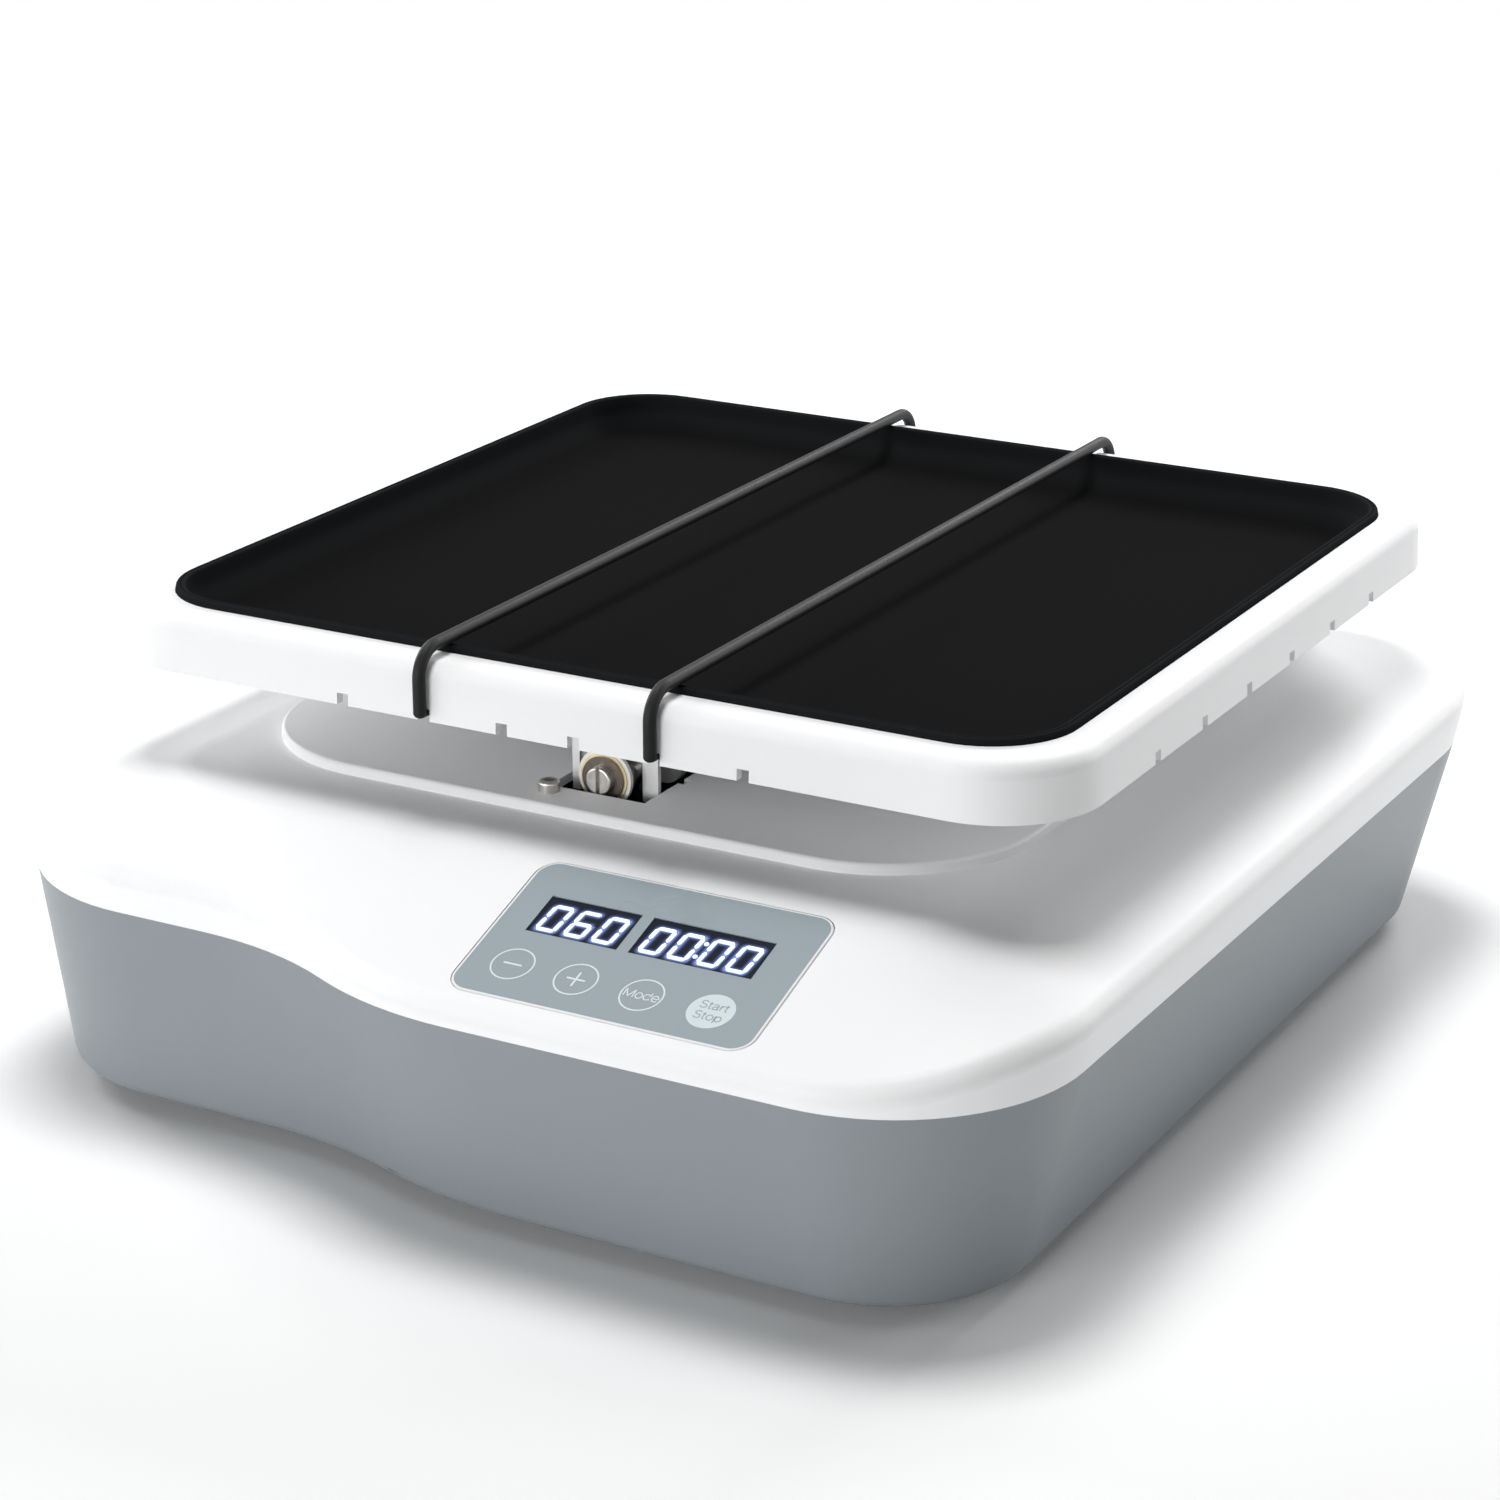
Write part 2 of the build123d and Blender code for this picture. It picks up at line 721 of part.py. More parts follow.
def neck_run():
    """Height of a cord's necks, and the distance of their inner ends from the platform's middle."""
    return platform_z + notch_height - cord_neck[1] / 2 - 0.1, platform_depth / 2 - platform_wall - 1.0


def make_cord(x):
    """One hold-down cord, pulled tight over the rim, with a flattened neck in each of its notches."""
    points = [(x, y, z) for y, z in cord_route()]
    path = FilletPolyline(*points, radius=cord_rim_radius)
    tube = sweep(Plane(origin=path @ 0, z_dir=path % 0) * Circle(cord_diameter / 2), path=path)
    low = platform_z + cord_end_rise
    tube = fillet([edge for edge in tube.edges() if edge.bounding_box().max.Z < low + 0.01], cord_end_radius)
    z, inside = neck_run()
    out = platform_depth / 2 + cord_diameter / 2 + cord_gap
    for end in (-1, 1):
        section = Plane(origin=(x, yc + end * out, z), z_dir=(0, -end, 0), x_dir=(1, 0, 0))
        tube += extrude(section * RectangleRounded(*cord_neck, cord_neck[1] / 2 - 0.05), out - inside)
    length = path.length + 2 * (out - inside)
    print(f"hold-down cord at x={x:.1f}: length {length:.1f} mm")
    return tube


def cord_x():
    """Place along X of the two cords."""
    x = front_notches[cord_notch]
    return [-x, x]


def make_cord_stops():
    """Moulded knobs behind the skirt that keep the cords' ends in their notches."""
    stops = []
    z, inside = neck_run()
    for x in cord_x():
        for end in (-1, 1):
            y0, y1 = yc + end * inside, yc + end * (inside - stop_length + 1.2)
            stops.append(cylinder_y(stop_diameter / 2, y0, y1, x, z))
    return stops


def bracket_screws():
    """Screws that hold the bracket under the platform's floor."""
    x = bracket_width / 2 - bracket_screw_inset
    return [(side * x, yc + i * bracket_screw_pitch) for side in (-1, 1) for i in (-1, 0, 1)]


def make_bracket():
    """White sheet bracket: plate, two legs beside each post's hub, and a hanger for the shaft."""
    half = post_offset + bracket_overhang
    top, under = tray_under_z, tray_under_z - bracket_thickness
    body = block(-bracket_width / 2, bracket_width / 2, yc - half, yc + half, under, top)
    body = fillet(body.edges().filter_by(Axis.Z), 10)
    outer = leg_span / 2
    for end in (-1, 1):
        y0, y1 = yc + end * leg_offset, yc + end * (leg_offset + leg_depth)
        for side, width in ((-1, leg_width), (1, right_leg_width)):
            body += block(side * (outer - width), side * outer, y0, y1, pivot_z - leg_drop, under + 1)
        y0, y1 = hanger_offset - hanger_thickness / 2, hanger_offset + hanger_thickness / 2
        hanger = block(-hanger_width / 2, hanger_width / 2, yc + end * y0, yc + end * y1,
                       pivot_z - hanger_drop, under + 1)
        low = hanger.edges().filter_by(Axis.Y).sort_by(Axis.Z)[:2]
        body += fillet(low, 6)
    body -= cylinder_y(shaft_diameter / 2 + press_play, yc - shaft_end, yc + shaft_end, 0, pivot_z)
    for x, y in bracket_screws():
        body -= cylinder_z(bracket_screw / 2 + hole_play, under - 1, top + 1, x, y)
    return body


def make_bracket_screws():
    """Pan-head screws from below into the platform's floor."""
    under = tray_under_z - bracket_thickness
    length = bracket_thickness + platform_wall - 0.3
    return [Pos(x, y, under) * Rot(180, 0, 0) * screw(bracket_screw, length) for x, y in bracket_screws()]


def make_post(end):
    """Post with a round head and an outer hub that carries one end of the shaft."""
    y = yc + end * post_offset
    y0, y1 = y - post_thickness / 2, y + post_thickness / 2
    body = block(-post_width / 2, post_width / 2, y0, y1, chassis_top, pivot_z)
    body += cylinder_y(post_head_radius, y0, y1, 0, pivot_z)
    body += cylinder_y(post_head_radius, y, yc + end * hub_face, 0, pivot_z)
    foot = block(-post_foot_width / 2, post_foot_width / 2, y - post_foot_depth / 2,
                 y + post_foot_depth / 2, chassis_top, chassis_top + post_foot_height)
    body += fillet(foot.edges().filter_by(Axis.Z), 5)
    gusset = Plane.XZ.offset(-y0) * make_face(Polyline(
        (-post_gusset_width / 2, chassis_top + post_foot_height - 1),
        (post_gusset_width / 2, chassis_top + post_foot_height - 1),
        (post_width / 2 - 1, chassis_top + post_gusset_height),
        (-post_width / 2 + 1, chassis_top + post_gusset_height), close=True))
    body += extrude(gusset, -post_thickness)
    reach = post_hub_length + 1
    body -= cylinder_y(bush_outer / 2 + press_play, y0 - reach, y1 + reach, 0, pivot_z)
    hole = post_screw / 2 + hole_play
    for x, ys in post_screws(end):
        body -= cylinder_z(hole, chassis_top - 1, chassis_top + post_foot_height + 1, x, ys)
    return body


def post_screws(end):
    """Four screws through a post's foot."""
    y = yc + end * post_offset
    x = post_foot_width / 2 - post_screw_inset
    return [(side * x, y + back * post_screw_pitch / 2) for side in (-1, 1) for back in (-1, 1)]


def make_post_screws():
    """Socket screws from the posts' feet into the chassis plate."""
    top = chassis_top + post_foot_height
    length = post_foot_height + chassis_thickness
    places = post_screws(-1) + post_screws(1)
    return [Pos(x, y, top) * screw(post_screw, length) for x, y in places]


def make_bush(end):
    """Flanged bronze bush, its flange on the outer side of the post's hub."""
    y_in = yc + end * (post_offset - post_thickness / 2)
    y_out = yc + end * hub_face
    y_flange = yc + end * (hub_face + bush_flange_thickness)
    body = cylinder_y(bush_outer / 2, y_in, y_out, 0, pivot_z)
    body += cylinder_y(bush_flange / 2, y_out, y_flange, 0, pivot_z)
    return body - cylinder_y(shaft_diameter / 2 + bore_play, yc - shaft_end, yc + shaft_end, 0, pivot_z)


def make_shaft():
    """Pivot shaft with a tapped hole in each end."""
    body = cylinder_y(shaft_diameter / 2, yc - shaft_end, yc + shaft_end, 0, pivot_z)
    for end in (-1, 1):
        y0, y1 = yc + end * (shaft_end - end_screw_length), yc + end * (shaft_end + 1)
        body -= cylinder_y(end_screw_diameter / 2 + press_play, y0, y1, 0, pivot_z)
    return body


def make_end_washers(outer, inner, start, thickness):
    """A washer at each end of the shaft."""
    rings = []
    for end in (-1, 1):
        y0, y1 = yc + end * start, yc + end * (start + thickness)
        rings.append(ring_y(outer / 2, inner / 2, min(y0, y1), max(y0, y1), 0, pivot_z))
    return rings


def make_end_screws():
    """Slotted cheese-head screws in the ends of the shaft."""
    screws = []
    for end in (-1, 1):
        y0, y1 = yc + end * head_start, yc + end * (head_start + end_screw_head_height)
        head = cylinder_y(end_screw_head / 2, y0, y1, 0, pivot_z)
        rim = [edge for edge in head.edges().filter_by(GeomType.CIRCLE) if abs(edge.center().Y - y1) < 0.01]
        head = fillet(rim, end_screw_edge)
        y_slot = y1 - end * screw_slot_depth
        w = screw_slot_width / 2
        head -= block(-w, w, y_slot, y1 + end, pivot_z - end_screw_head, pivot_z + end_screw_head)
        y_tip = yc + end * (shaft_end - end_screw_length + 1)
        screws.append(head + cylinder_y(end_screw_diameter / 2, y_tip, y0, 0, pivot_z))
    return screws


def make_guide_post():
    """Round-headed steel post that stands on the island beside the front opening."""
    y = yc - guide_offset
    head = cylinder_z(guide_diameter / 2, island_z, island_z + guide_height, guide_x, y)
    head = fillet(head.edges().filter_by(GeomType.CIRCLE).sort_by(Axis.Z)[-1], 1.0)
    top = island_z + guide_height
    head -= cylinder_z(guide_socket / 2, top - guide_socket_depth, top + 1, guide_x, y)
    return head + cylinder_z(guide_stem / 2, deck_z - wall, island_z, guide_x, y)


def make_fork():
    """Arm clamped on the shaft, forked at its lower end round the crank's roller."""
    half = fork_thickness / 2
    r = roller_diameter / 2
    slot = r + fork_play
    slot_top = crank_z + crank_throw + r + fork_play
    bottom = crank_z - crank_throw - r - fork_reach
    body = cylinder_y(fork_hub_diameter / 2, yc - fork_hub_length / 2, yc + fork_hub_length / 2, 0, pivot_z)
    body += block(-fork_arm_width / 2, fork_arm_width / 2, yc - half, yc + half, slot_top, pivot_z)
    head = block(-slot - fork_tine, slot + fork_tine, yc - half, yc + half, bottom, slot_top + 8)
    body += fillet(head.edges().filter_by(Axis.Y), 2.5)
    body -= block(-slot, slot, yc - half - 1, yc + half + 1, bottom - 1, slot_top)
    bore = shaft_diameter / 2 + press_play
    body -= cylinder_y(bore, yc - fork_hub_length, yc + fork_hub_length, 0, pivot_z)
    body -= cylinder_z(2 + press_play, pivot_z, pivot_z + fork_hub_diameter, 0, yc)
    return body


def make_fork_screw():
    """Set screw from the hub's top onto the shaft."""
    z0, z1 = pivot_z + shaft_diameter / 2, pivot_z + fork_hub_diameter / 2 + 1
    body = cylinder_z(2, z0 + press_play, z1, 0, yc)
    return body - Pos(0, yc, z1 - 2) * extrude(RegularPolygon(1.1, 6), 3)


def make_crank():
    """Crank disc on the gearbox's output shaft."""
    y0 = yc - crank_offset - crank_thickness / 2
    y1 = y0 + crank_thickness
    body = cylinder_y(crank_diameter / 2, y0, y1, 0, crank_z)
    body = chamfer(body.edges().filter_by(GeomType.CIRCLE), 0.8)
    body -= cylinder_y(output_diameter / 2 + press_play, y0 - 1, y1 - 2, 0, crank_z)
    body -= cylinder_y(pin_diameter / 2 + press_play, y0 + 2, y1 + 1, 0, crank_z - crank_throw)
    return body


def make_crank_pin():
    """Eccentric pin with a shoulder against the disc."""
    y_disc = yc - crank_offset + crank_thickness / 2
    y_roller = yc - roller_length / 2
    z = crank_z - crank_throw
    body = cylinder_y(pin_diameter / 2, y_disc - 5, yc + roller_length / 2 + 2.4, 0, z)
    return body + cylinder_y(pin_shoulder / 2, y_disc, y_roller - 0.1, 0, z)


def make_crank_roller():
    """Roller on the crank pin, inside the fork."""
    z = crank_z - crank_throw
    y0, y1 = yc - roller_length / 2, yc + roller_length / 2
    return ring_y(roller_diameter / 2, pin_diameter / 2 + bore_play, y0, y1, 0, z)


def make_roller_clip():
    """Clip that keeps the roller on its pin."""
    y0 = yc + roller_length / 2 + 0.1
    return ring_y(clip_diameter / 2, pin_diameter / 2 + press_play, y0, y0 + clip_thickness, 0,
                  crank_z - crank_throw)


gearbox_face = yc - motor_plate_offset - motor_plate / 2
gearbox_back = gearbox_face - gearbox_length


def make_output_shaft():
    """Gearbox output shaft, from inside the gearbox into the disc."""
    y1 = yc - crank_offset + crank_thickness / 2 - 2.2
    return cylinder_y(output_diameter / 2, gearbox_face - 15, y1, 0, crank_z)


def motor_screws():
    """Four screw places on the gearbox's face."""
    r = motor_screw_circle / 2
    return [(r * cos(radians(a)), crank_z + r * sin(radians(a))) for a in (45, 135, 225, 315)]


def make_gearbox():
    """Round gearbox housing with its output bore and face screws."""
    body = cylinder_y(gearbox_diameter / 2, gearbox_back, gearbox_face, 0, crank_z)
    body = fillet(body.edges().filter_by(GeomType.CIRCLE), 1.0)
    body -= cylinder_y(output_diameter / 2 + bore_play, gearbox_face - 16, gearbox_face + 1, 0, crank_z)
    for x, z in motor_screws():
        body -= cylinder_y(gearbox_screw / 2 + press_play, gearbox_face - 7, gearbox_face + 1, x, z)
    return body


def make_motor():
    """Motor can with a rear bearing boss and a plug socket on its side."""
    y1 = gearbox_back
    y0 = y1 - motor_length
    body = cylinder_y(motor_diameter / 2, y0, y1, 0, crank_z)
    body = fillet(body.edges().filter_by(GeomType.CIRCLE).sort_by(Axis.Y)[0], 2.5)
    body += cylinder_y(6, y0 - 2, y0 + 1, 0, crank_z)
    x0, x1 = -motor_diameter / 2 - motor_plug, -motor_diameter / 2 + 4
    return body + block(x0, x1, y0 + 4, y0 + 14, crank_z - 4, crank_z + 4)


def motor_foot_screws():
    """Screws through the motor bracket's foot."""
    return [(side * 24.0, gearbox_face - back) for side in (-1, 1) for back in (8.0, 32.0)]


def make_motor_bracket():
    """Bent steel angle that carries the gearbox."""
    y0, y1 = gearbox_face, gearbox_face + motor_plate
    w = motor_plate_width / 2
    body = block(-w, w, y0, y1, chassis_top, crank_z + motor_plate_top)
    body += block(-w, w, y1 - motor_foot, y1, chassis_top, chassis_top + motor_plate)
    body = fillet(body.edges().filter_by(Axis.Y).sort_by(Axis.Z)[-2:], 6)
    body -= cylinder_y(output_diameter / 2 + 2, y0 - 1, y1 + 1, 0, crank_z)
    for x, z in motor_screws():
        body -= cylinder_y(gearbox_screw / 2 + hole_play, y0 - 1, y1 + 1, x, z)
    hole = motor_foot_screw / 2 + hole_play
    for x, y in motor_foot_screws():
        body -= cylinder_z(hole, chassis_top - 1, chassis_top + motor_plate + 1, x, y)
    return body


def make_motor_screws():
    """Screws that hold the gearbox and the bracket's foot."""
    y = gearbox_face + motor_plate
    face_screw = Rot(-90, 0, 0) * screw(gearbox_screw, motor_plate + 6)
    face = [Pos(x, y, z) * face_screw for x, z in motor_screws()]
    top = chassis_top + motor_plate
    length = motor_plate + chassis_thickness
    foot = [Pos(x, y, top) * screw(motor_foot_screw, length) for x, y in motor_foot_screws()]
    return face + foot


def make_chassis():
    """Steel plate on the housing's bosses, which carries the posts and the motor."""
    middle = (chassis_front + chassis_back) / 2
    depth = chassis_back - chassis_front
    body = rounded_slab(chassis_width, depth, chassis_radius, chassis_z, chassis_top, middle)
    holes = [(x, y, chassis_screw / 2 + hole_play) for x, y in chassis_bosses()]
    holes += [(x, y, post_screw / 2 + press_play) for x, y in post_screws(-1) + post_screws(1)]
    holes += [(x, y, motor_foot_screw / 2 + press_play) for x, y in motor_foot_screws()]
    holes += [(x, y, supply_screw / 2 + press_play) for x, y in supply_holes()]
    for x, y, r in holes:
        body -= cylinder_z(r, chassis_z - 1, chassis_top + 1, x, y)
    return body


def make_chassis_screws():
    """Screws from the chassis plate into the housing's bosses."""
    length = chassis_thickness + chassis_stand - 1.5
    return [Pos(x, y, chassis_top) * screw(chassis_screw, length) for x, y in chassis_bosses()]


def make_case_screws():
    """Long-reach screws from the housing's bosses into the cover's bosses."""
    z = joint_z - case_screw_grip
    length = 2 * case_screw_grip - 1
    return [Pos(x, y, z) * Rot(180, 0, 0) * screw(case_screw_diameter, length) for x, y in case_bosses()]


def supply_holes():
    """Stand-off places under the power board."""
    x, y = supply_width / 2 - 5, supply_depth / 2 - 5
    return [(supply_x + sx * x, supply_y + sy * y) for sx in (-1, 1) for sy in (-1, 1)]


supply_z = chassis_top + supply_stand
supply_top = supply_z + board_thickness


def make_supply_board():
    """Power board with its transformer, capacitors and heat sink."""
    x0, x1 = supply_x - supply_width / 2, supply_x + supply_width / 2
    y0, y1 = supply_y - supply_depth / 2, supply_y + supply_depth / 2
    board = block(x0, x1, y0, y1, supply_z, supply_top)
    for x, y in supply_holes():
        board -= cylinder_z(supply_screw / 2 + hole_play, supply_z - 1, supply_top + 1, x, y)
    transformer = block(x0 + 22, x0 + 56, y0 + 30, y0 + 62, supply_top, supply_top + 26)
    transformer = fillet(transformer.edges().filter_by(Axis.Z), 2)
    solids = [board, transformer]
    for i in range(3):
        solids.append(cylinder_z(6, supply_top, supply_top + 20, x0 + 10, y0 + 24 + 15 * i))
    fin = block(x0 + 60, x0 + 62, y0 + 26, y0 + 72, supply_top, supply_top + 24)
    for i in range(5):
        fin += block(x0 + 61, x0 + 68, y0 + 27 + 10 * i, y0 + 28.5 + 10 * i, supply_top, supply_top + 24)
    solids.append(fin)
    for x, y, z in supply_plugs():
        half = supply_plug / 2
        low, high = supply_top, supply_top + supply_plug
        solids.append(block(x - half, x + half, y - half, y + half, low, high))
    return solids


def supply_plugs():
    """Middle of each lead's socket on the power board: mains, panel and motor."""
    z = supply_top + supply_plug / 2
    x1, y0 = supply_x + supply_width / 2, supply_y - supply_depth / 2
    return [(supply_x - 4, supply_y + 16, z), (x1 - 9, supply_y - 22, z), (supply_x - 12, y0 + 7, z)]


def make_supply_standoffs():
    """Stand-offs under the power board."""
    posts = []
    for x, y in supply_holes():
        post = cylinder_z(3, chassis_top, supply_z, x, y)
        post += cylinder_z(supply_screw / 2, chassis_z + 0.5, supply_top + 1.5, x, y)
        posts.append(post)
    return posts


def make_panel():
    """Glossy overlay with two windows for the displays."""
    plate = extrude(RectangleRounded(panel_width, panel_depth, panel_radius), panel_thickness)
    plate = Pos(0, 0, panel_proud - panel_thickness) * plate
    top = [edge for edge in plate.edges() if edge.bounding_box().min.Z > panel_proud - 0.01]
    plate = chamfer(top, 0.25)
    return console(plate - windows(0.05, -5, 5))


def make_display(u, width):
    """One black display module behind its window."""
    face = panel_proud - display_sink
    x0, x1 = u - width / 2, u + width / 2
    y0, y1 = display_v - display_height / 2, display_v + display_height / 2
    body = block(x0, x1, y0, y1, board_z + 0.02, face)
    return console(body)


SEGMENTS = {"0": "abcdef", "6": "acdefg"}


def segment_bar(name):
    """Outline of one bar of a seven-segment digit, pointed at both ends."""
    w = segment_width / 2
    long = digit_height / 4 - segment_gap - w / 2
    wide = digit_width / 2 - segment_gap - w / 2
    half = wide if name in "adg" else long
    bar = [(-half, 0), (-half + w, w), (half - w, w), (half, 0), (half - w, -w), (-half + w, -w)]
    x, y = digit_width / 2 - w, digit_height / 4
    places = {"a": (0, 2 * y - w), "d": (0, w - 2 * y), "g": (0, 0),
              "b": (x, y - w / 2), "c": (x, w / 2 - y), "e": (-x, w / 2 - y), "f": (-x, y - w / 2)}
    cx, cy = places[name]
    if name in "adg":
        return [(cx + px, cy + py) for px, py in bar]
    return [(cx + py, cy + px) for px, py in bar]


def make_digits(text, u):
    """Lit bars of a display, as thin solids on its face."""
    slots = len(text.replace(":", ""))
    colon = ":" in text
    gap = colon_gap if colon else 0.0
    middle = display_v - digit_drop
    start = u - (slots - 1) * digit_pitch / 2 - gap / 2
    lean = tan(radians(digit_lean))
    face = panel_proud - display_sink
    solids = []
    for i, digit in enumerate(text.replace(":", "")):
        shift = start + i * digit_pitch + (gap if colon and i >= slots / 2 else 0)
        for name in SEGMENTS[digit]:
            points = [(shift + x + lean * y, middle + y) for x, y in segment_bar(name)]
            bar = make_face(Polyline(*points, close=True))
            solids.append(console(Pos(0, 0, face) * extrude(bar, segment_thickness)))
    if colon:
        for y in (-digit_height / 4, digit_height / 4):
            dot = (u + lean * y, middle + y)
            solids.append(console(cylinder_z(colon_dot / 2, face, face + segment_thickness, *dot)))
    return solids


def make_control_board():
    """Circuit board under the console, screwed to the cover's bosses."""
    board = block(-board_width / 2, board_width / 2, -board_depth / 2, board_depth / 2,
                  board_z - board_thickness, board_z)
    for u, v in board_bosses:
        board -= cylinder_z(board_screw / 2 + hole_play, board_z - 5, board_z + 1, u, v)
    chip = block(-12, 0, -14, -2, board_z - board_thickness - 2, board_z - board_thickness)
    under = board_z - board_thickness
    socket = block(14, 32, -18, -10, under - board_socket, under)
    return [console(board), console(chip), console(socket)]


def make_board_screws():
    """Screws of the control board."""
    z = board_z - board_thickness
    return [console(Pos(u, v, z) * Rot(180, 0, 0) * screw(board_screw, board_thickness + 4))
            for u, v in board_bosses]


def make_inlet():
    """Mains inlet: flange, body and the cavity that the plug enters."""
    y = recess_face_y
    mouth = y + inlet_flange_thickness
    flange = connector_block(inlet_x, inlet_flange_width, inlet_flange_height, y, mouth)
    flange = fillet(flange.edges().filter_by(Axis.Y), 4)
    body = flange + connector_block(inlet_x, inlet_body_width, inlet_body_height, y - inlet_body_depth, y + 1)
    cavity = connector_block(
        inlet_x, inlet_cavity_width, inlet_cavity_height, mouth - inlet_cavity_depth, mouth + 1)
    corners = cavity.edges().filter_by(Axis.Y).sort_by(Axis.Z)[-2:]
    body -= chamfer(corners, 3.5)
    for side in (-1, 1):
        x = inlet_x + side * inlet_screw_pitch / 2
        body -= cylinder_y(inlet_screw / 2 + hole_play, y - 1, mouth + 1, x, connector_z)
    for x, z in inlet_pins():
        w, h = 1.0 + press_play, 2.0 + press_play
        body -= block(x - w, x + w, y - inlet_body_depth - 1, y, z - h, z + h)
    return body


def inlet_pins():
    """Two blades and the earth blade between them."""
    x, z = inlet_pin_pitch / 2, inlet_pin_drop
    return [(inlet_x - x, connector_z - z), (inlet_x + x, connector_z - z), (inlet_x, connector_z + z + 1)]


def make_inlet_pins():
    """Flat blades through the back of the inlet, with solder tags."""
    y1 = recess_face_y + inlet_flange_thickness - inlet_cavity_depth + inlet_pin_length
    y0 = recess_face_y - inlet_body_depth - inlet_tag
    return [block(x - 1, x + 1, y0, y1, z - 2, z + 2) for x, z in inlet_pins()]


def make_inlet_screws():
    """Pan-head screws that hold the inlet's flange."""
    y = recess_face_y + inlet_flange_thickness
    length = inlet_flange_thickness + wall
    return [Pos(inlet_x + side * inlet_screw_pitch / 2, y, connector_z) * Rot(-90, 0, 0)
            * screw(inlet_screw, length) for side in (-1, 1)]


def make_switch_frame():
    """Frame of the rocker switch, with the two ears that its rocker turns in."""
    y = recess_face_y
    w, h, t = switch_width, switch_height, switch_wall
    body = connector_block(switch_x, w + 2 * t, h + 2 * t, y, y + switch_rim)
    body = fillet(body.edges().filter_by(Axis.Y), 1.5)
    body += connector_block(switch_x, w, h, y - switch_depth, y + 1)
    body -= connector_block(switch_x, w - 2 * t, h - 2 * t, y - switch_depth + 2, y + switch_rim + 1)
    r = rocker_pin / 2 + bore_play
    body -= Pos(switch_x, rocker_pivot_y, connector_z) * Rot(0, 90, 0) * Cylinder(r, switch_width - 1)
    return body


def make_rocker():
    """Rocker with its pin; at rest its upper half stands out, which is off."""
    w = switch_width / 2 - switch_wall - rocker_side_play
    h = (switch_height / 2 - switch_wall - rocker_end_play) * cos(radians(rocker_angle / 2))
    profile = Polyline(
        (-rocker_back, rocker_taper - h), (rocker_tips, -h), (rocker_dip, 0), (rocker_tips, h),
        (-rocker_back, h - rocker_taper), close=True)
    shape = Plane(origin=(-w, 0, 0), x_dir=(0, 1, 0), z_dir=(1, 0, 0)) * make_face(profile)
    body = extrude(shape, 2 * w)
    body += Rot(0, 90, 0) * Cylinder(rocker_pin / 2, switch_width - 1.4)
    return Pos(switch_x, rocker_pivot_y, connector_z) * Rot(-rocker_angle / 2, 0, 0) * body


def make_lead(points):
    """One internal lead: straight runs joined by arcs as large as the runs allow."""
    corners = [Vector(*p) for p in points]
    radii = []
    for before, here, after in zip(corners, corners[1:], corners[2:]):
        turn = radians((here - before).get_angle(after - here))
        room = 0.45 * min((here - before).length, (after - here).length) / tan(turn / 2)
        radii.append(room)
    path = FilletPolyline(*points, radius=radii)
    tube = sweep(Plane(origin=path @ 0, z_dir=path % 0) * Circle(lead_diameter / 2), path=path)
    print(f"lead: length {path.length:.1f} mm, least bend radius {min(radii):.1f} mm")
    return tube


def mains_lead_route():
    """From the inlet's first pin to the power board."""
    x, z = inlet_pins()[0]
    y = recess_face_y - inlet_body_depth - inlet_tag
    px, py, pz = supply_plugs()[0]
    return [(x, y, z), (x, y - 12, z), (px, y - 24, pz), (px, py + supply_plug / 2, pz)]


def panel_lead_route():
    """From the control board's socket, along the chassis plate, to the power board."""
    start = console(Vertex(23, -14, board_z - board_thickness - board_socket)).center()
    down = console(Vertex(23, -14, board_z - board_thickness - board_socket - 22)).center()
    px, py, pz = supply_plugs()[1]
    low = chassis_top + lead_diameter
    return [tuple(start), tuple(down), (96, -128, 38), (101, -82, low), (99, -28, low), (92, 26, low),
            (66, 70, low), (22, 86, low + 1), (-22, py, pz), (px + supply_plug / 2, py, pz)]


def motor_lead_route():
    """From the motor's plug to the power board."""
    x = -motor_diameter / 2 - motor_plug
    y = gearbox_back - motor_length + 9
    px, py, pz = supply_plugs()[2]
    return [(x, y, crank_z), (x - 20, y, crank_z), (x - 48, y + 22, chassis_top + 12),
            (px + 2, y + 66, chassis_top + 6), (px, py - 24, pz), (px, py - supply_plug / 2, pz)]


def save(name, *solids):
    """Write one node."""
    shape = solids[0] if len(solids) == 1 else Compound(children=list(solids))
    shape.label = name
    export_step(shape, f"parts/{name}.step")


os.makedirs("parts", exist_ok=True)

# Base
save("lower_housing", make_lower_housing())
save("upper_cover", make_upper_cover())
save("rubber_feet", *make_feet())
save("case_screws", *make_case_screws())
save("chassis_plate", make_chassis())
save("chassis_screws", *make_chassis_screws())
save("guide_post", make_guide_post())

# Pivot
save("pivot_post_front", make_post(-1))
save("pivot_post_rear", make_post(1))
save("post_screws", *make_post_screws())
save("pivot_bush_front", make_bush(-1))
save("pivot_bush_rear", make_bush(1))

# Drive
save("gearbox", make_gearbox())
save("motor", make_motor())
save("motor_bracket", make_motor_bracket())
save("motor_screws", *make_motor_screws())
save("output_shaft", make_output_shaft())
save("crank_disc", make_crank())
save("crank_pin", make_crank_pin())
save("crank_roller", make_crank_roller())
save("roller_clip", make_roller_clip())

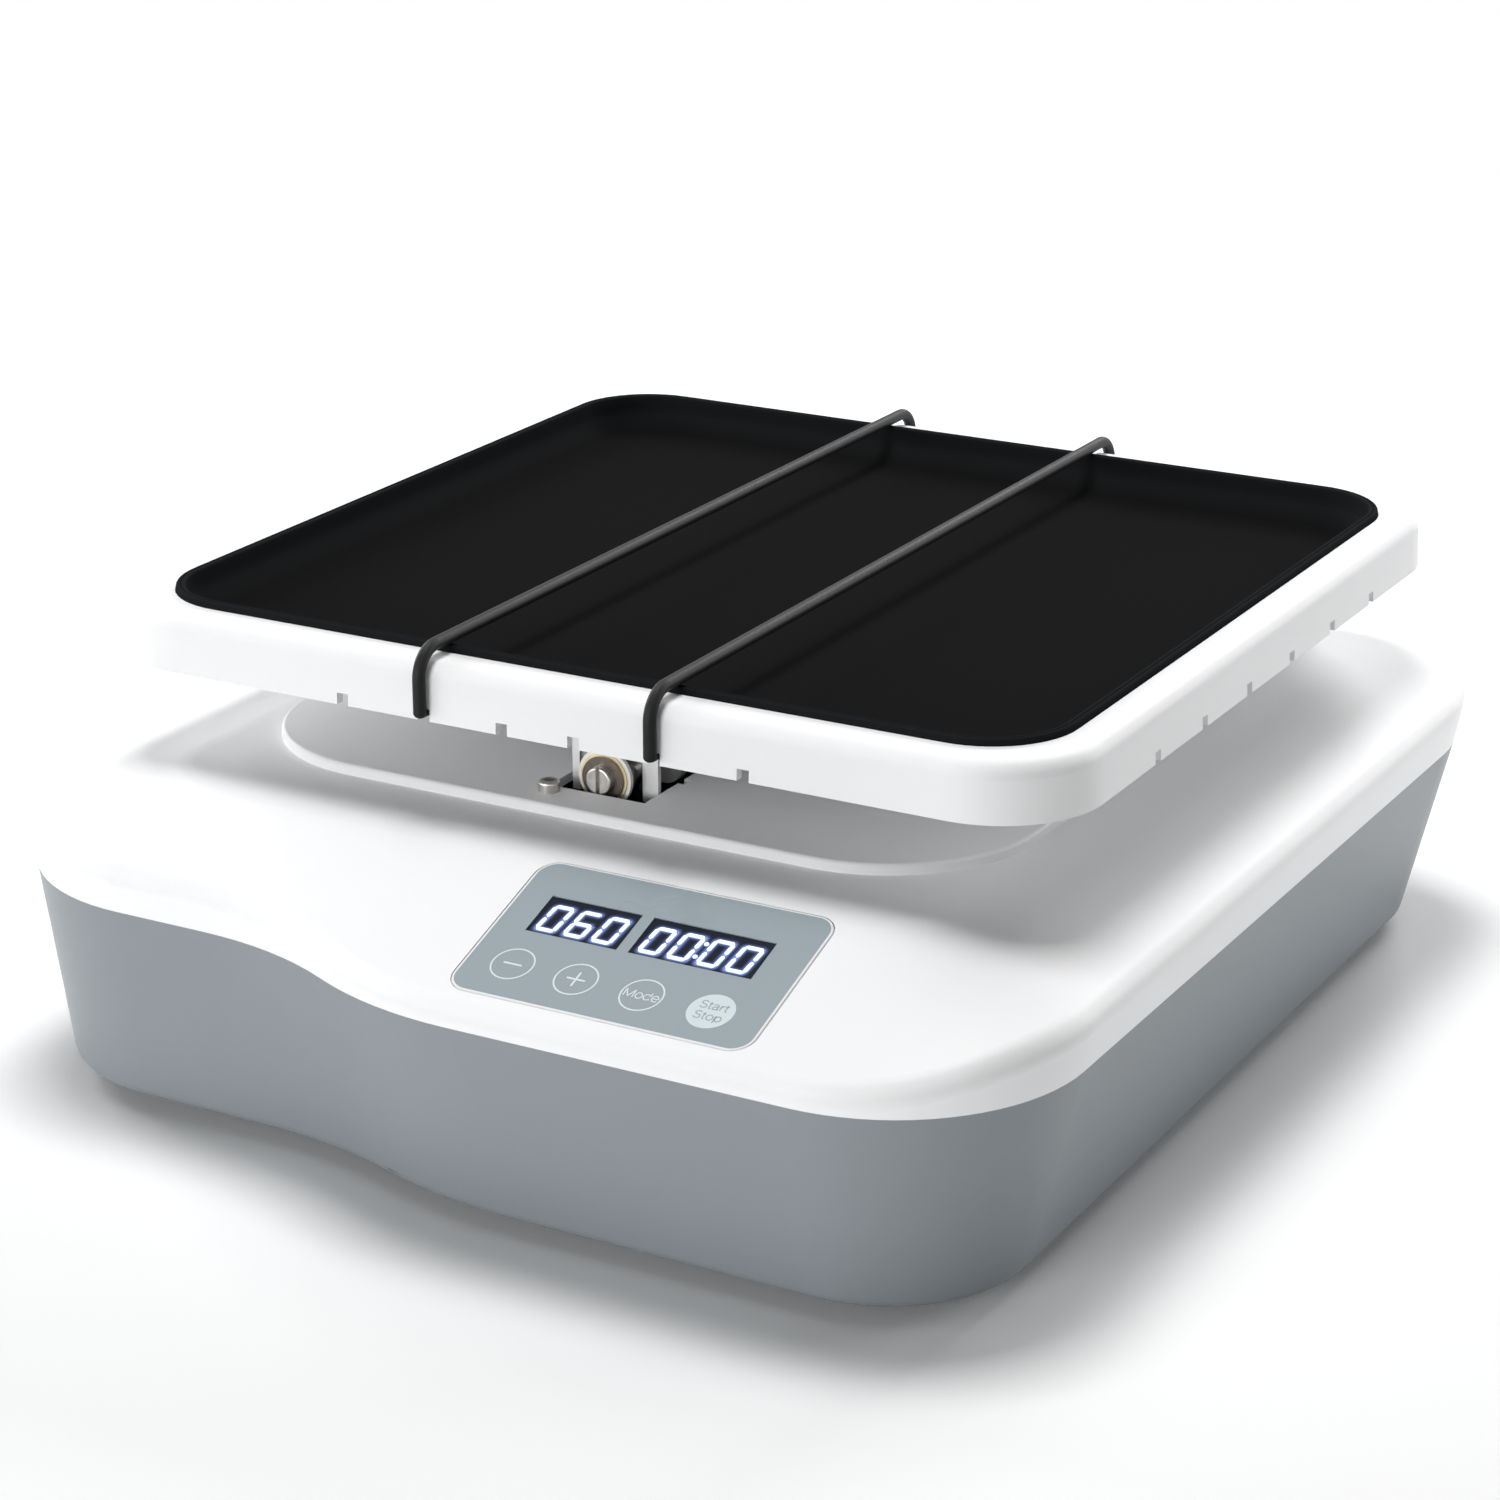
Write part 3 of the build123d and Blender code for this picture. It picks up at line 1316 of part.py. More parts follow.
# Platform
save("platform", make_platform())
save("tray_mat", make_mat())
save("platform_bracket", make_bracket())
save("bracket_screws", *make_bracket_screws())
save("pivot_shaft", make_shaft())
save("shaft_end_screws", *make_end_screws())
inner = shaft_diameter + 2 * bore_play
save("nylon_washers", *make_end_washers(nylon_washer_diameter, inner, nylon_start, nylon_washer_thickness))
save("brass_washers", *make_end_washers(brass_washer_diameter, inner, brass_start, brass_washer_thickness))
save("steel_washers", *make_end_washers(
    steel_washer_diameter, end_screw_diameter + 2 * hole_play, shaft_end, steel_washer_thickness))
save("drive_fork", make_fork())
save("fork_set_screw", make_fork_screw())
left_x, right_x = cord_x()
save("hold_down_cord_left", make_cord(left_x))
save("hold_down_cord_right", make_cord(right_x))
save("cord_stops", *make_cord_stops())

# Controls
save("control_panel", make_panel())
save("speed_display", make_display(speed_u, speed_width))
save("timer_display", make_display(timer_u, timer_width))
save("speed_digits", *make_digits("060", speed_u))
save("timer_digits", *make_digits("00:00", timer_u))
save("control_board", *make_control_board())
save("board_screws", *make_board_screws())

# Power
save("power_supply_board", *make_supply_board())
save("supply_standoffs", *make_supply_standoffs())
save("power_inlet", make_inlet())
save("inlet_pins", *make_inlet_pins())
save("inlet_screws", *make_inlet_screws())
save("switch_frame", make_switch_frame())
save("switch_rocker", make_rocker())
save("mains_lead", make_lead(mains_lead_route()))
save("panel_lead", make_lead(panel_lead_route()))
save("motor_lead", make_lead(motor_lead_route()))
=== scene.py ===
"""Looks of the rocking shaker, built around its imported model. Metres, +Z up, controls towards -Y."""

import math

import bmesh
import bpy
from mathutils import Matrix, Vector


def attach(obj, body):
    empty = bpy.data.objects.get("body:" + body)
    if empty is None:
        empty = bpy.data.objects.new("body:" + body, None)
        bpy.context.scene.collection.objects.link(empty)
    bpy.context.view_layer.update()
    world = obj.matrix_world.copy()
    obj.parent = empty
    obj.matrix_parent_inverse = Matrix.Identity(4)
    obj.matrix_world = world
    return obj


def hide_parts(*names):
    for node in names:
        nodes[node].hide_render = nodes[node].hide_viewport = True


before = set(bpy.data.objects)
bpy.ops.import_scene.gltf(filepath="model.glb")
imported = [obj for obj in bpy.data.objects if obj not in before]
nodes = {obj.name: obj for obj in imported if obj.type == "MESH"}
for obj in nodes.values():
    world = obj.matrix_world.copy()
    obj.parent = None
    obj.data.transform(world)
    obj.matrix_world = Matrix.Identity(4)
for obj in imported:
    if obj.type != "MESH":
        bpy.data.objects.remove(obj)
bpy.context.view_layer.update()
MM = 0.001

# Camera at the photograph's angle
AZIMUTH = math.radians(28.91)
PITCH = math.radians(19.73)
camera_data = bpy.data.cameras.new("camera")
camera_data.lens = 91.33
camera_data.sensor_width = 36.0
camera_data.shift_x = -0.01333
camera_data.shift_y = -0.0030
camera_data.clip_start = 0.05
camera = bpy.data.objects.new("camera", camera_data)
camera.location = (0.5716, -1.0287, 0.5089)
camera.rotation_euler = (math.pi / 2 - PITCH, 0.0, AZIMUTH)
bpy.context.scene.collection.objects.link(camera)
bpy.context.scene.camera = camera


# Shader building

class Number:
    """A number in a shader. Python's operators add the Math nodes that they need."""

    def __init__(self, graph, socket):
        self.graph = graph
        self.socket = socket

    def __add__(self, other):
        return self.graph.maths("ADD", self, other)

    def __radd__(self, other):
        return self.graph.maths("ADD", other, self)

    def __sub__(self, other):
        return self.graph.maths("SUBTRACT", self, other)

    def __rsub__(self, other):
        return self.graph.maths("SUBTRACT", other, self)

    def __mul__(self, other):
        return self.graph.maths("MULTIPLY", self, other)

    def __rmul__(self, other):
        return self.graph.maths("MULTIPLY", other, self)

    def __truediv__(self, other):
        return self.graph.maths("DIVIDE", self, other)


class Graph:
    """The nodes of one material or of the room."""

    def __init__(self, tree):
        self.tree = tree

    def feed(self, socket, value):
        """Put a plain value in a socket, or link what was worked out before."""
        if isinstance(value, Number):
            value = value.socket
        if isinstance(value, bpy.types.NodeSocket):
            self.tree.links.new(value, socket)
        else:
            socket.default_value = value

    def node(self, kind, settings, inputs):
        """Any node: its type, its settings first, then the values or links of its sockets."""
        node = self.tree.nodes.new(kind)
        for key, value in settings.items():
            setattr(node, key, value)
        for key, value in inputs.items():
            self.feed(node.inputs[key], value)
        return node

    def maths(self, operation, *terms):
        """A Math node on one, two or three numbers."""
        inputs = dict(enumerate(terms))
        return Number(self, self.node("ShaderNodeMath", {"operation": operation}, inputs).outputs[0])

    def low(self, *terms):
        """The lowest of some numbers."""
        least = terms[0]
        for term in terms[1:]:
            least = self.maths("MINIMUM", least, term)
        return least

    def high(self, *terms):
        """The highest of some numbers."""
        most = terms[0]
        for term in terms[1:]:
            most = self.maths("MAXIMUM", most, term)
        return most

    def size(self, value):
        """A number without its sign."""
        return self.maths("ABSOLUTE", value)

    def length(self, x, y):
        """Length of a flat step."""
        return self.maths("SQRT", x * x + y * y)

    def share(self, value):
        """A number held between 0 and 1."""
        return self.low(self.high(value, 0.0), 1.0)

    def mix(self, share, first, second):
        """A colour between two colours."""
        node = self.node("ShaderNodeMix", {"data_type": "RGBA"}, {"Factor": share})
        for socket, colour in zip([s for s in node.inputs if s.type == "RGBA"], (first, second)):
            self.feed(socket, (*colour, 1.0) if isinstance(colour, tuple) else colour)
        return [s for s in node.outputs if s.type == "RGBA"][0]


class Finish(Graph):
    """One procedural material: a Principled shader and the nodes that feed it."""

    def __init__(self, name, colour, roughness, **constants):
        self.material = bpy.data.materials.new(name)
        self.material.use_nodes = True
        super().__init__(self.material.node_tree)
        self.shader = self.tree.nodes["Principled BSDF"]
        self.set("Base Color", (*colour, 1.0))
        self.set("Roughness", roughness)
        for key, value in constants.items():
            self.set(key.replace("_", " "), value)

    def set(self, key, value):
        """Feed one socket of the main shader."""
        self.feed(self.shader.inputs[key], value)

    def place(self):
        """The point on the piece, in the model's own frame."""
        return self.node("ShaderNodeTexCoord", {}, {}).outputs["Object"]

    def axes(self):
        """The three coordinates of the point on the piece."""
        split = self.node("ShaderNodeSeparateXYZ", {}, {"Vector": self.place()})
        return [Number(self, out) for out in split.outputs]

    def stretch(self, scale):
        """The point with each coordinate multiplied by its own number."""
        node = self.node("ShaderNodeVectorMath", {"operation": "MULTIPLY"}, {0: self.place(), 1: scale})
        return node.outputs[0]

    def noise(self, scale, detail=2.0, roughness=0.5, point=None):
        """Cloudy noise from 0 to 1; scale is in waves per metre."""
        inputs = {
            "Vector": point or self.place(), "Scale": scale,
            "Detail": detail, "Roughness": roughness}
        return Number(self, self.node("ShaderNodeTexNoise", {}, inputs).outputs["Fac"])

    def bump(self, height, depth, strength=1.0):
        """Relief: height from 0 to 1, depth in metres."""
        inputs = {"Height": height, "Distance": depth, "Strength": strength}
        self.set("Normal", self.node("ShaderNodeBump", {}, inputs).outputs[0])


def shade(colour, factor):
    """A colour made darker or lighter."""
    return tuple(min(1.0, part * factor) for part in colour)


def moulded(name, colour, roughness, grain=2600.0, grain_depth=0.000012, **constants):
    """Injection-moulded plastic: a fine spark-eroded grain and very slight clouding."""
    finish = Finish(name, colour, roughness, **constants)
    clouds = finish.noise(14.0, 3.0)
    fine = finish.noise(grain, 2.0, 0.6)
    finish.set("Base Color", finish.mix(clouds, shade(colour, 0.975), shade(colour, 1.02)))
    finish.set("Roughness", roughness - 0.04 + 0.05 * clouds + 0.04 * fine)
    finish.bump(fine, grain_depth, 0.5)
    return finish.material


def rubbery(name, colour, roughness, grain=1700.0, grain_depth=0.00003, **constants):
    """Matt black rubber with a fine leathery grain and faint dust."""
    finish = Finish(name, colour, roughness, **constants)
    clouds = finish.noise(9.0, 4.0)
    fine = finish.noise(grain, 3.0, 0.55)
    dust = finish.share((finish.noise(420.0, 2.0) - 0.60) * 3.0)
    tone = finish.mix(clouds, shade(colour, 0.92), shade(colour, 1.10))
    finish.set("Base Color", finish.mix(dust * 0.25, tone, shade(colour, 1.6)))
    finish.set("Roughness", roughness + 0.08 * clouds + 0.05 * fine)
    finish.bump(fine, grain_depth, 0.6)
    return finish.material


def tray_rubber():
    """Mat's rubber: dead black floor with a fine pebble grain; walls and lip painted a little paler and
    bluer as a painted sheen.
    """
    # Painted sheen: above the floor, the walls and lip blend into a paler bluish tone that stands in
    # for light glancing off them.
    floor, wall = (0.0068, 0.0068, 0.0069), (0.0135, 0.0145, 0.0155)
    finish = Finish("mat_rubber", floor, 0.70, Specular_IOR_Level=0.004)
    height = finish.axes()[2]
    sheen_paint_share = finish.share((height - (MAT_FLOOR + 0.3) * MM) / (5.0 * MM))
    clouds = finish.noise(9.0, 4.0)
    pebbles = finish.noise(1700.0, 3.0, 0.55)
    dust = finish.share((finish.noise(420.0, 2.0) - 0.62) * 3.0)
    tone = finish.mix(sheen_paint_share, floor, wall)
    tone = finish.mix(clouds * 0.25, tone, shade(floor, 1.5))
    finish.set("Base Color", finish.mix(dust * 0.12, tone, (0.03, 0.03, 0.03)))
    finish.set("Roughness", 0.66 + 0.08 * clouds + 0.06 * pebbles)
    finish.bump(pebbles, 0.00004, 0.6)
    return finish.material


def brushed(name, colour, roughness, along=(1.0, 1.0, 0.05), lines=2400.0, **constants):
    """Metal with fine lines along one direction and slight handling marks."""
    finish = Finish(name, colour, roughness, Metallic=1.0, **constants)
    lined = finish.noise(lines, 2.0, 0.6, finish.stretch(along))
    marks = finish.noise(160.0, 3.0)
    finish.set("Base Color", finish.mix(marks, shade(colour, 0.90), shade(colour, 1.06)))
    finish.set("Roughness", roughness - 0.06 + 0.14 * lined + 0.08 * marks)
    finish.bump(lined, 0.00001, 0.5)
    return finish.material


def turned(name, colour, roughness, centre, pitch=0.00028, **constants):
    """Lathe-turned metal whose fine rings run round a line along Y."""
    finish = Finish(name, colour, roughness, Metallic=1.0, **constants)
    x, _, z = finish.axes()
    radius = finish.length(x - centre[0], z - centre[1])
    rings = finish.maths("PINGPONG", radius, pitch) / pitch
    marks = finish.noise(520.0, 3.0)
    finish.set("Base Color", finish.mix(marks, shade(colour, 0.86), shade(colour, 1.08)))
    finish.set("Roughness", roughness - 0.05 + 0.08 * rings + 0.10 * marks)
    finish.bump(rings, 0.000012, 0.4)
    return finish.material


def cast(name, colour, roughness, **constants):
    """Cast metal with a soft sand-blasted surface."""
    finish = Finish(name, colour, roughness, Metallic=1.0, **constants)
    clouds = finish.noise(60.0, 4.0)
    fine = finish.noise(1500.0, 3.0, 0.6)
    finish.set("Base Color", finish.mix(clouds, shade(colour, 0.86), shade(colour, 1.06)))
    finish.set("Roughness", roughness + 0.12 * clouds)
    finish.bump(fine, 0.00004, 0.6)
    return finish.material


# Rubber mat, in millimetres: plan, place and heights
MAT_SIZE = (310.9, 293.7, 28.0)
MAT_MIDDLE_Y = 24.0
MAT_SEAT = 136.1
MAT_FLOOR = 138.5
MAT_LIP = 150.5

# Console: the frame of the control panel, as the model has it
CONSOLE_LEAN = math.radians(18.8)
PANEL_MIDDLE = Vector((59.0, -175.5845, 89.7243)) * MM
PANEL_PRINT = (96.9 * MM, 57.9 * MM, 6.0 * MM)   # width, depth and corner radius of the grey print
PANEL_FACE = 0.1 * MM
PRINT_EDGE = 0.12 * MM                  # over which the grey print turns into the margin
PANEL_MARGIN = (0.80, 0.81, 0.82)

console_frame = Matrix((
    (1.0, 0.0, 0.0, PANEL_MIDDLE.x),
    (0.0, math.cos(CONSOLE_LEAN), -math.sin(CONSOLE_LEAN), PANEL_MIDDLE.y),
    (0.0, math.sin(CONSOLE_LEAN), math.cos(CONSOLE_LEAN), PANEL_MIDDLE.z),
    (0.0, 0.0, 0.0, 1.0)))


def panel_axes(finish):
    """Right and up on the panel, from its middle."""
    x, y, z = finish.axes()
    up = (y - PANEL_MIDDLE.y) * math.cos(CONSOLE_LEAN) + (z - PANEL_MIDDLE.z) * math.sin(CONSOLE_LEAN)
    return x - PANEL_MIDDLE.x, up


def outside(finish, across, up, width, height, radius):
    """Distance outside a rounded rectangle, negative inside it."""
    right = finish.size(across) - (width / 2 - radius)
    top = finish.size(up) - (height / 2 - radius)
    corner = finish.length(finish.high(right, 0.0), finish.high(top, 0.0))
    return corner + finish.low(finish.high(right, top), 0.0) - radius


def panel_film():
    """Satin film: grey-blue print inside a narrow white margin."""
    colour = (0.292, 0.351, 0.378)
    finish = Finish("panel_film", colour, 0.28,
                    Specular_IOR_Level=0.35, Coat_Weight=0.12, Coat_Roughness=0.03)
    across, up = panel_axes(finish)
    edge = finish.share(outside(finish, across, up, *PANEL_PRINT) / PRINT_EDGE + 0.5)
    clouds = finish.noise(22.0, 3.0)
    speck = finish.noise(5200.0, 1.0)
    tone = finish.mix(clouds, shade(colour, 0.985), shade(colour, 1.015))
    tone = finish.mix(finish.share(speck * 0.10), tone, shade(colour, 1.25))
    finish.set("Base Color", finish.mix(edge, tone, PANEL_MARGIN))
    finish.set("Roughness", 0.26 + 0.04 * clouds)
    return finish.material


# Digits, in the panel's frame
DIGIT_UP = 6.2 * MM                     # middle of the digits above the panel's middle
DIGIT_PITCH = 9.35 * MM
DIGIT_WIDE, DIGIT_TALL = 5.7 * MM, 10.4 * MM     # between the middles of opposite bars
DIGIT_LEAN = math.tan(math.radians(6.0))
BAR_HALF = 0.65 * MM
BAR_CORNER = 0.6 * MM
CROSS_BAR_HALF = 2.2 * MM               # half length of the six's upper and middle bars
GLOW_REACH = 2.1 * MM
FAR = 20 * MM                           # pushes a bar that isn't lit out of reach


def bar_distance(finish, middle, slots, six_in_middle):
    """Distance from the middle line of the nearest lit bar."""
    across, up = panel_axes(finish)
    rise = up - DIGIT_UP
    slid = across - middle * MM - DIGIT_LEAN * rise
    first = slots / 2 * DIGIT_PITCH
    near = DIGIT_PITCH / 2 - finish.maths("PINGPONG", slid + first, DIGIT_PITCH / 2)
    ring = finish.size(outside(finish, near, rise, DIGIT_WIDE, DIGIT_TALL, BAR_CORNER))
    ring = ring + FAR * finish.maths("GREATER_THAN", finish.size(slid), first)
    if not six_in_middle:
        return ring
    elsewhere = FAR * finish.maths("GREATER_THAN", finish.size(slid), DIGIT_PITCH / 2)
    past = finish.high(finish.size(slid) - CROSS_BAR_HALF, 0.0)
    top = finish.length(past, rise - DIGIT_TALL / 2) + elsewhere
    waist = finish.length(past, rise) + elsewhere
    unlit = finish.maths("GREATER_THAN", slid, 0.5 * MM) * finish.maths("GREATER_THAN", rise, 0.3 * MM)
    return finish.low(ring + finish.high(FAR * unlit - elsewhere, 0.0), top, waist)


def display_face(name, *digits):
    """Black display whose lit bars throw a blue glow on the dark face around them."""
    finish = Finish(name, (0.0035, 0.0045, 0.007), 0.30, Specular_IOR_Level=0.08)
    reach = finish.share(1.0 - (bar_distance(finish, *digits) - BAR_HALF) / GLOW_REACH)
    reach = reach * reach
    glow = finish.mix(reach * reach, (0.004, 0.007, 0.018), (0.30, 0.42, 1.0))
    finish.set("Emission Color", glow)
    finish.set("Emission Strength", 0.75)
    finish.set("Roughness", 0.28 + 0.05 * finish.noise(300.0, 2.0))
    return finish.material


def lit_bars(name, *digits):
    """Lit bars, white along their middle and bluer towards their edges."""
    finish = Finish(name, (0.5, 0.6, 0.9), 0.5, Specular_IOR_Level=0.1)
    edge = finish.share(bar_distance(finish, *digits) / BAR_HALF)
    grain = finish.noise(2400.0, 1.0)
    tone = finish.mix(edge * edge + 0.06 * grain, (0.97, 0.985, 1.0), (0.50, 0.64, 1.0))
    finish.set("Emission Color", tone)
    finish.set("Emission Strength", 1.05)
    return finish.material


# Middle across the panel in millimetres, number of digits, whether the middle one is a six
SPEED = (-23.2, 3, True)
TIMER = (15.9, 4, False)


def circuit_board():
    """Green solder mask with copper tracks under it."""
    green = (0.012, 0.085, 0.030)
    finish = Finish("circuit_board", green, 0.35)
    tracks = finish.node("ShaderNodeTexBrick", {"offset": 0.5}, {
        "Vector": finish.stretch((1.0, 1.0, 0.0)), "Scale": 160.0, "Mortar Size": 0.02,
        "Color1": (*green, 1.0), "Color2": (*shade(green, 0.8), 1.0),
        "Mortar": (0.03, 0.17, 0.06, 1.0)})
    finish.set("Base Color", tracks.outputs["Color"])
    finish.set("Roughness", 0.30 + 0.12 * finish.noise(400.0))
    finish.bump(Number(finish, tracks.outputs["Fac"]), 0.00003, 0.4)
    return finish.material


# Finishes, by the piece that carries them
WHITE = (0.89, 0.892, 0.90)
GREY = (0.243, 0.267, 0.287)
PIVOT = (0.0, 107.2 * MM)

white_plastic = moulded("white_plastic", WHITE, 0.50, Specular_IOR_Level=0.32)
grey_plastic = moulded("grey_plastic", GREY, 0.44, grain=2200.0, Specular_IOR_Level=0.42)
bracket_paint = moulded("bracket_paint", (0.84, 0.845, 0.845), 0.38, grain=900.0)
mat_rubber = tray_rubber()
cord_rubber = rubbery("cord_rubber", (0.0075, 0.0077, 0.008), 0.46, Specular_IOR_Level=0.20)
foot_rubber = rubbery("foot_rubber", (0.020, 0.020, 0.021), 0.60)
zinc = brushed("zinc_plated_steel", (0.66, 0.66, 0.65), 0.30)
screw_steel = turned("turned_steel", (0.62, 0.60, 0.57), 0.26, PIVOT)
washer_steel = turned("washer_steel", (0.20, 0.175, 0.15), 0.26, PIVOT)
washer_brass = turned("washer_brass", (0.80, 0.69, 0.44), 0.34, PIVOT)
washer_nylon = moulded("washer_nylon", (0.84, 0.84, 0.81), 0.40)
bush_bronze = turned("bush_bronze", (0.42, 0.26, 0.13), 0.38, PIVOT)
ground_steel = turned("ground_steel", (0.60, 0.60, 0.61), 0.20, PIVOT)
post_steel = turned("post_steel", (0.17, 0.165, 0.155), 0.26, PIVOT)
cast_metal = cast("cast_metal", (0.58, 0.59, 0.60), 0.42)
motor_steel = brushed("motor_steel", (0.55, 0.55, 0.55), 0.32, along=(1.0, 0.05, 1.0))
chassis_steel = brushed("chassis_steel", (0.52, 0.53, 0.54), 0.38, along=(0.04, 1.0, 1.0), lines=900.0)
acetal = moulded("acetal", (0.78, 0.78, 0.76), 0.36)
connector_plastic = moulded("connector_plastic", (0.022, 0.022, 0.024), 0.40)
pin_metal = brushed("pin_metal", (0.62, 0.60, 0.54), 0.24)
lead_sheath = rubbery("lead_sheath", (0.022, 0.022, 0.023), 0.45)
board_green = circuit_board()

FINISHES = {
    "lower_housing": grey_plastic,
    "upper_cover": white_plastic,
    "platform": white_plastic,
    "rubber_feet": foot_rubber,
    "tray_mat": mat_rubber,
    "platform_bracket": bracket_paint,
    "hold_down_cord_left": cord_rubber,
    "hold_down_cord_right": cord_rubber,
    "cord_stops": cord_rubber,
    "guide_post": brushed("guide_steel", (0.58, 0.56, 0.52), 0.26, along=(1.0, 1.0, 0.1)),
    "shaft_end_screws": screw_steel,
    "steel_washers": washer_steel,
    "brass_washers": washer_brass,
    "nylon_washers": washer_nylon,
    "pivot_shaft": ground_steel,
    "pivot_bush_front": bush_bronze,
    "pivot_bush_rear": bush_bronze,
    "pivot_post_front": post_steel,
    "pivot_post_rear": post_steel,
    "drive_fork": cast_metal,
    "crank_disc": cast_metal,
    "gearbox": cast_metal,
    "motor": motor_steel,
    "motor_bracket": chassis_steel,
    "chassis_plate": chassis_steel,
    "output_shaft": ground_steel,
    "crank_pin": ground_steel,
    "roller_clip": ground_steel,
    "fork_set_screw": ground_steel,
    "crank_roller": acetal,
    "control_panel": panel_film(),
    "speed_display": display_face("speed_display_face", *SPEED),
    "timer_display": display_face("timer_display_face", *TIMER),
    "speed_digits": lit_bars("speed_bars", *SPEED),
    "timer_digits": lit_bars("timer_bars", *TIMER),
    "control_board": board_green,
    "power_supply_board": board_green,
    "power_inlet": connector_plastic,
    "switch_frame": connector_plastic,
    "switch_rocker": connector_plastic,
    "inlet_pins": pin_metal,
    "mains_lead": lead_sheath,
    "panel_lead": lead_sheath,
    "motor_lead": lead_sheath,
}

for name, carried in nodes.items():
    for holder in carried.material_slots:
        holder.material = FINISHES.get(name, zinc)


# Pieces made here

def piece(name, mesh, material, body):
    """An object from a mesh in the row's frame, riding on one body."""
    made = bpy.data.objects.new(name, mesh)
    bpy.context.scene.collection.objects.link(made)
    mesh.materials.clear()
    mesh.materials.append(material)
    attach(made, body)
    return made


def mesh_from(name, build, place=None):
    """A mesh from a function that fills a bmesh."""
    shape = bmesh.new()
    build(shape)
    if place is not None:
        bmesh.ops.transform(shape, matrix=place, verts=shape.verts)
    bmesh.ops.recalc_face_normals(shape, faces=shape.faces)
    mesh = bpy.data.meshes.new(name)
    shape.to_mesh(mesh)
    shape.free()
    return mesh


def stroke(shape, points, width, closed=False):
    """A flat raised line of one width along some points, in millimetres on the panel."""
    count = len(points)
    rows = []
    for i, (x, y) in enumerate(points):
        before = points[i - 1] if i > 0 or closed else points[i]
        after = points[(i + 1) % count] if i < count - 1 or closed else points[i]
        along = Vector((after[0] - before[0], after[1] - before[1])).normalized()
        side = Vector((-along.y, along.x)) * width / 2
        ends = ((x + side.x, y + side.y), (x - side.x, y - side.y))
        rows.append([[shape.verts.new((u * MM, v * MM, z)) for z in (INK_LOW, INK_HIGH)]
                     for u, v in ends])
    for i in range(count if closed else count - 1):
        (a, b), (c, d) = rows[i], rows[(i + 1) % count]
        for quad in ((a[1], c[1], d[1], b[1]), (a[0], b[0], d[0], c[0]),
                     (a[0], c[0], c[1], a[1]), (b[0], b[1], d[1], d[0])):
            shape.faces.new(quad)
    if not closed:
        for a, b in (rows[0], rows[-1]):
            shape.faces.new((a[0], a[1], b[1], b[0]))


def bow(x, y, wide, tall, start=0.0, end=360.0, steps=24):
    """Points along an oval arc, angles in degrees."""
    angles = [math.radians(start + (end - start) * i / steps) for i in range(steps + 1)]
    return [(x + wide * math.cos(a), y + tall * math.sin(a)) for a in angles]


# Strokes of the letters, in cap heights, and how far each letter reaches
LETTERS = {
    "M": (1.10, [[(0.06, 0), (0.06, 1)], [(0.06, 1), (0.5, 0.03)],
                 [(0.5, 0.03), (0.94, 1)], [(0.94, 1), (0.94, 0)]]),
    "S": (0.84, [bow(0.39, 0.755, 0.28, 0.235, 25, 270), bow(0.39, 0.26, 0.31, 0.26, 90, -158)]),
    "a": (0.74, [bow(0.32, 0.50, 0.25, 0.23, 0, 160),
                 [(0.57, 0.5), (0.57, 0.12), (0.60, 0.03), (0.66, 0.0)],
                 [(0.57, 0.43), (0.36, 0.41), (0.17, 0.36), (0.08, 0.27), (0.06, 0.17),
                  (0.11, 0.06), (0.24, 0.0), (0.38, 0.02), (0.50, 0.10), (0.57, 0.22)]]),
    "d": (0.80, [bow(0.36, 0.365, 0.30, 0.365), [(0.66, 0), (0.66, 1)]]),
    "e": (0.76, [bow(0.37, 0.365, 0.31, 0.365, 0, 318), [(0.06, 0.365), (0.68, 0.365)]]),
    "o": (0.78, [bow(0.37, 0.365, 0.31, 0.365)]),
    "p": (0.76, [bow(0.41, 0.365, 0.30, 0.365), [(0.11, -0.28), (0.11, 0.73)]]),
    "r": (0.48, [[(0.11, 0), (0.11, 0.73)], bow(0.43, 0.40, 0.32, 0.32, 180, 90, 8)]),
    "t": (0.44, [[(0.17, 0.93), (0.17, 0.14), (0.20, 0.05), (0.27, 0.0), (0.36, 0.01)],
                 [(0.02, 0.72), (0.36, 0.72)]]),
}


def word_strokes(text, x, y, width, tall):
    """Strokes of a word about a middle, in millimetres."""
    reach = sum(LETTERS[letter][0] for letter in text) - 0.08
    scale = width / reach
    left = x - width / 2
    strokes = []
    for letter in text:
        advance, lines = LETTERS[letter]
        for line in lines:
            strokes.append([(left + u * scale, y + (v - 0.5) * tall) for u, v in line])
        left += advance * scale
    return strokes


INK_LOW = PANEL_FACE + 0.01 * MM
INK_HIGH = PANEL_FACE + 0.05 * MM


def ink(name, lines, width, material, lift=0.0):
    """Printed lines on the panel; a line whose ends meet is closed."""
    def fill(shape):
        for line in lines:
            meets = math.dist(line[0], line[-1]) < 1e-6
            stroke(shape, line[:-1] if meets else line, width, meets)

    mesh = mesh_from(name, fill, console_frame @ Matrix.Translation((0.0, 0.0, lift)))
    return piece(name, mesh, material, "base")


pale_ink = moulded("pale_ink", (0.70, 0.75, 0.77), 0.36, grain=4000.0, grain_depth=0.000004)
key_ink = moulded("key_ink", (0.62, 0.70, 0.72), 0.36, grain=4000.0, grain_depth=0.000004)
word_ink = moulded("word_ink", (0.30, 0.36, 0.385), 0.36, grain=4000.0, grain_depth=0.000004)

# Touch marks: middle across and up the panel, in millimetres, then the marks' own sizes
MINUS = (-34.1, -15.4)
PLUS = (-12.7, -15.9)
MODE = (9.1, -16.3)
START = (31.5, -16.6)
RING = 6.45
RING_LINE = 0.5
KEY = 7.1
MARK_LINE = 0.66
MARK_REACH = 3.0
LETTER_LINE = 0.38
WORD_LIFT = 0.03 * MM                   # words on the filled key lie above its ink

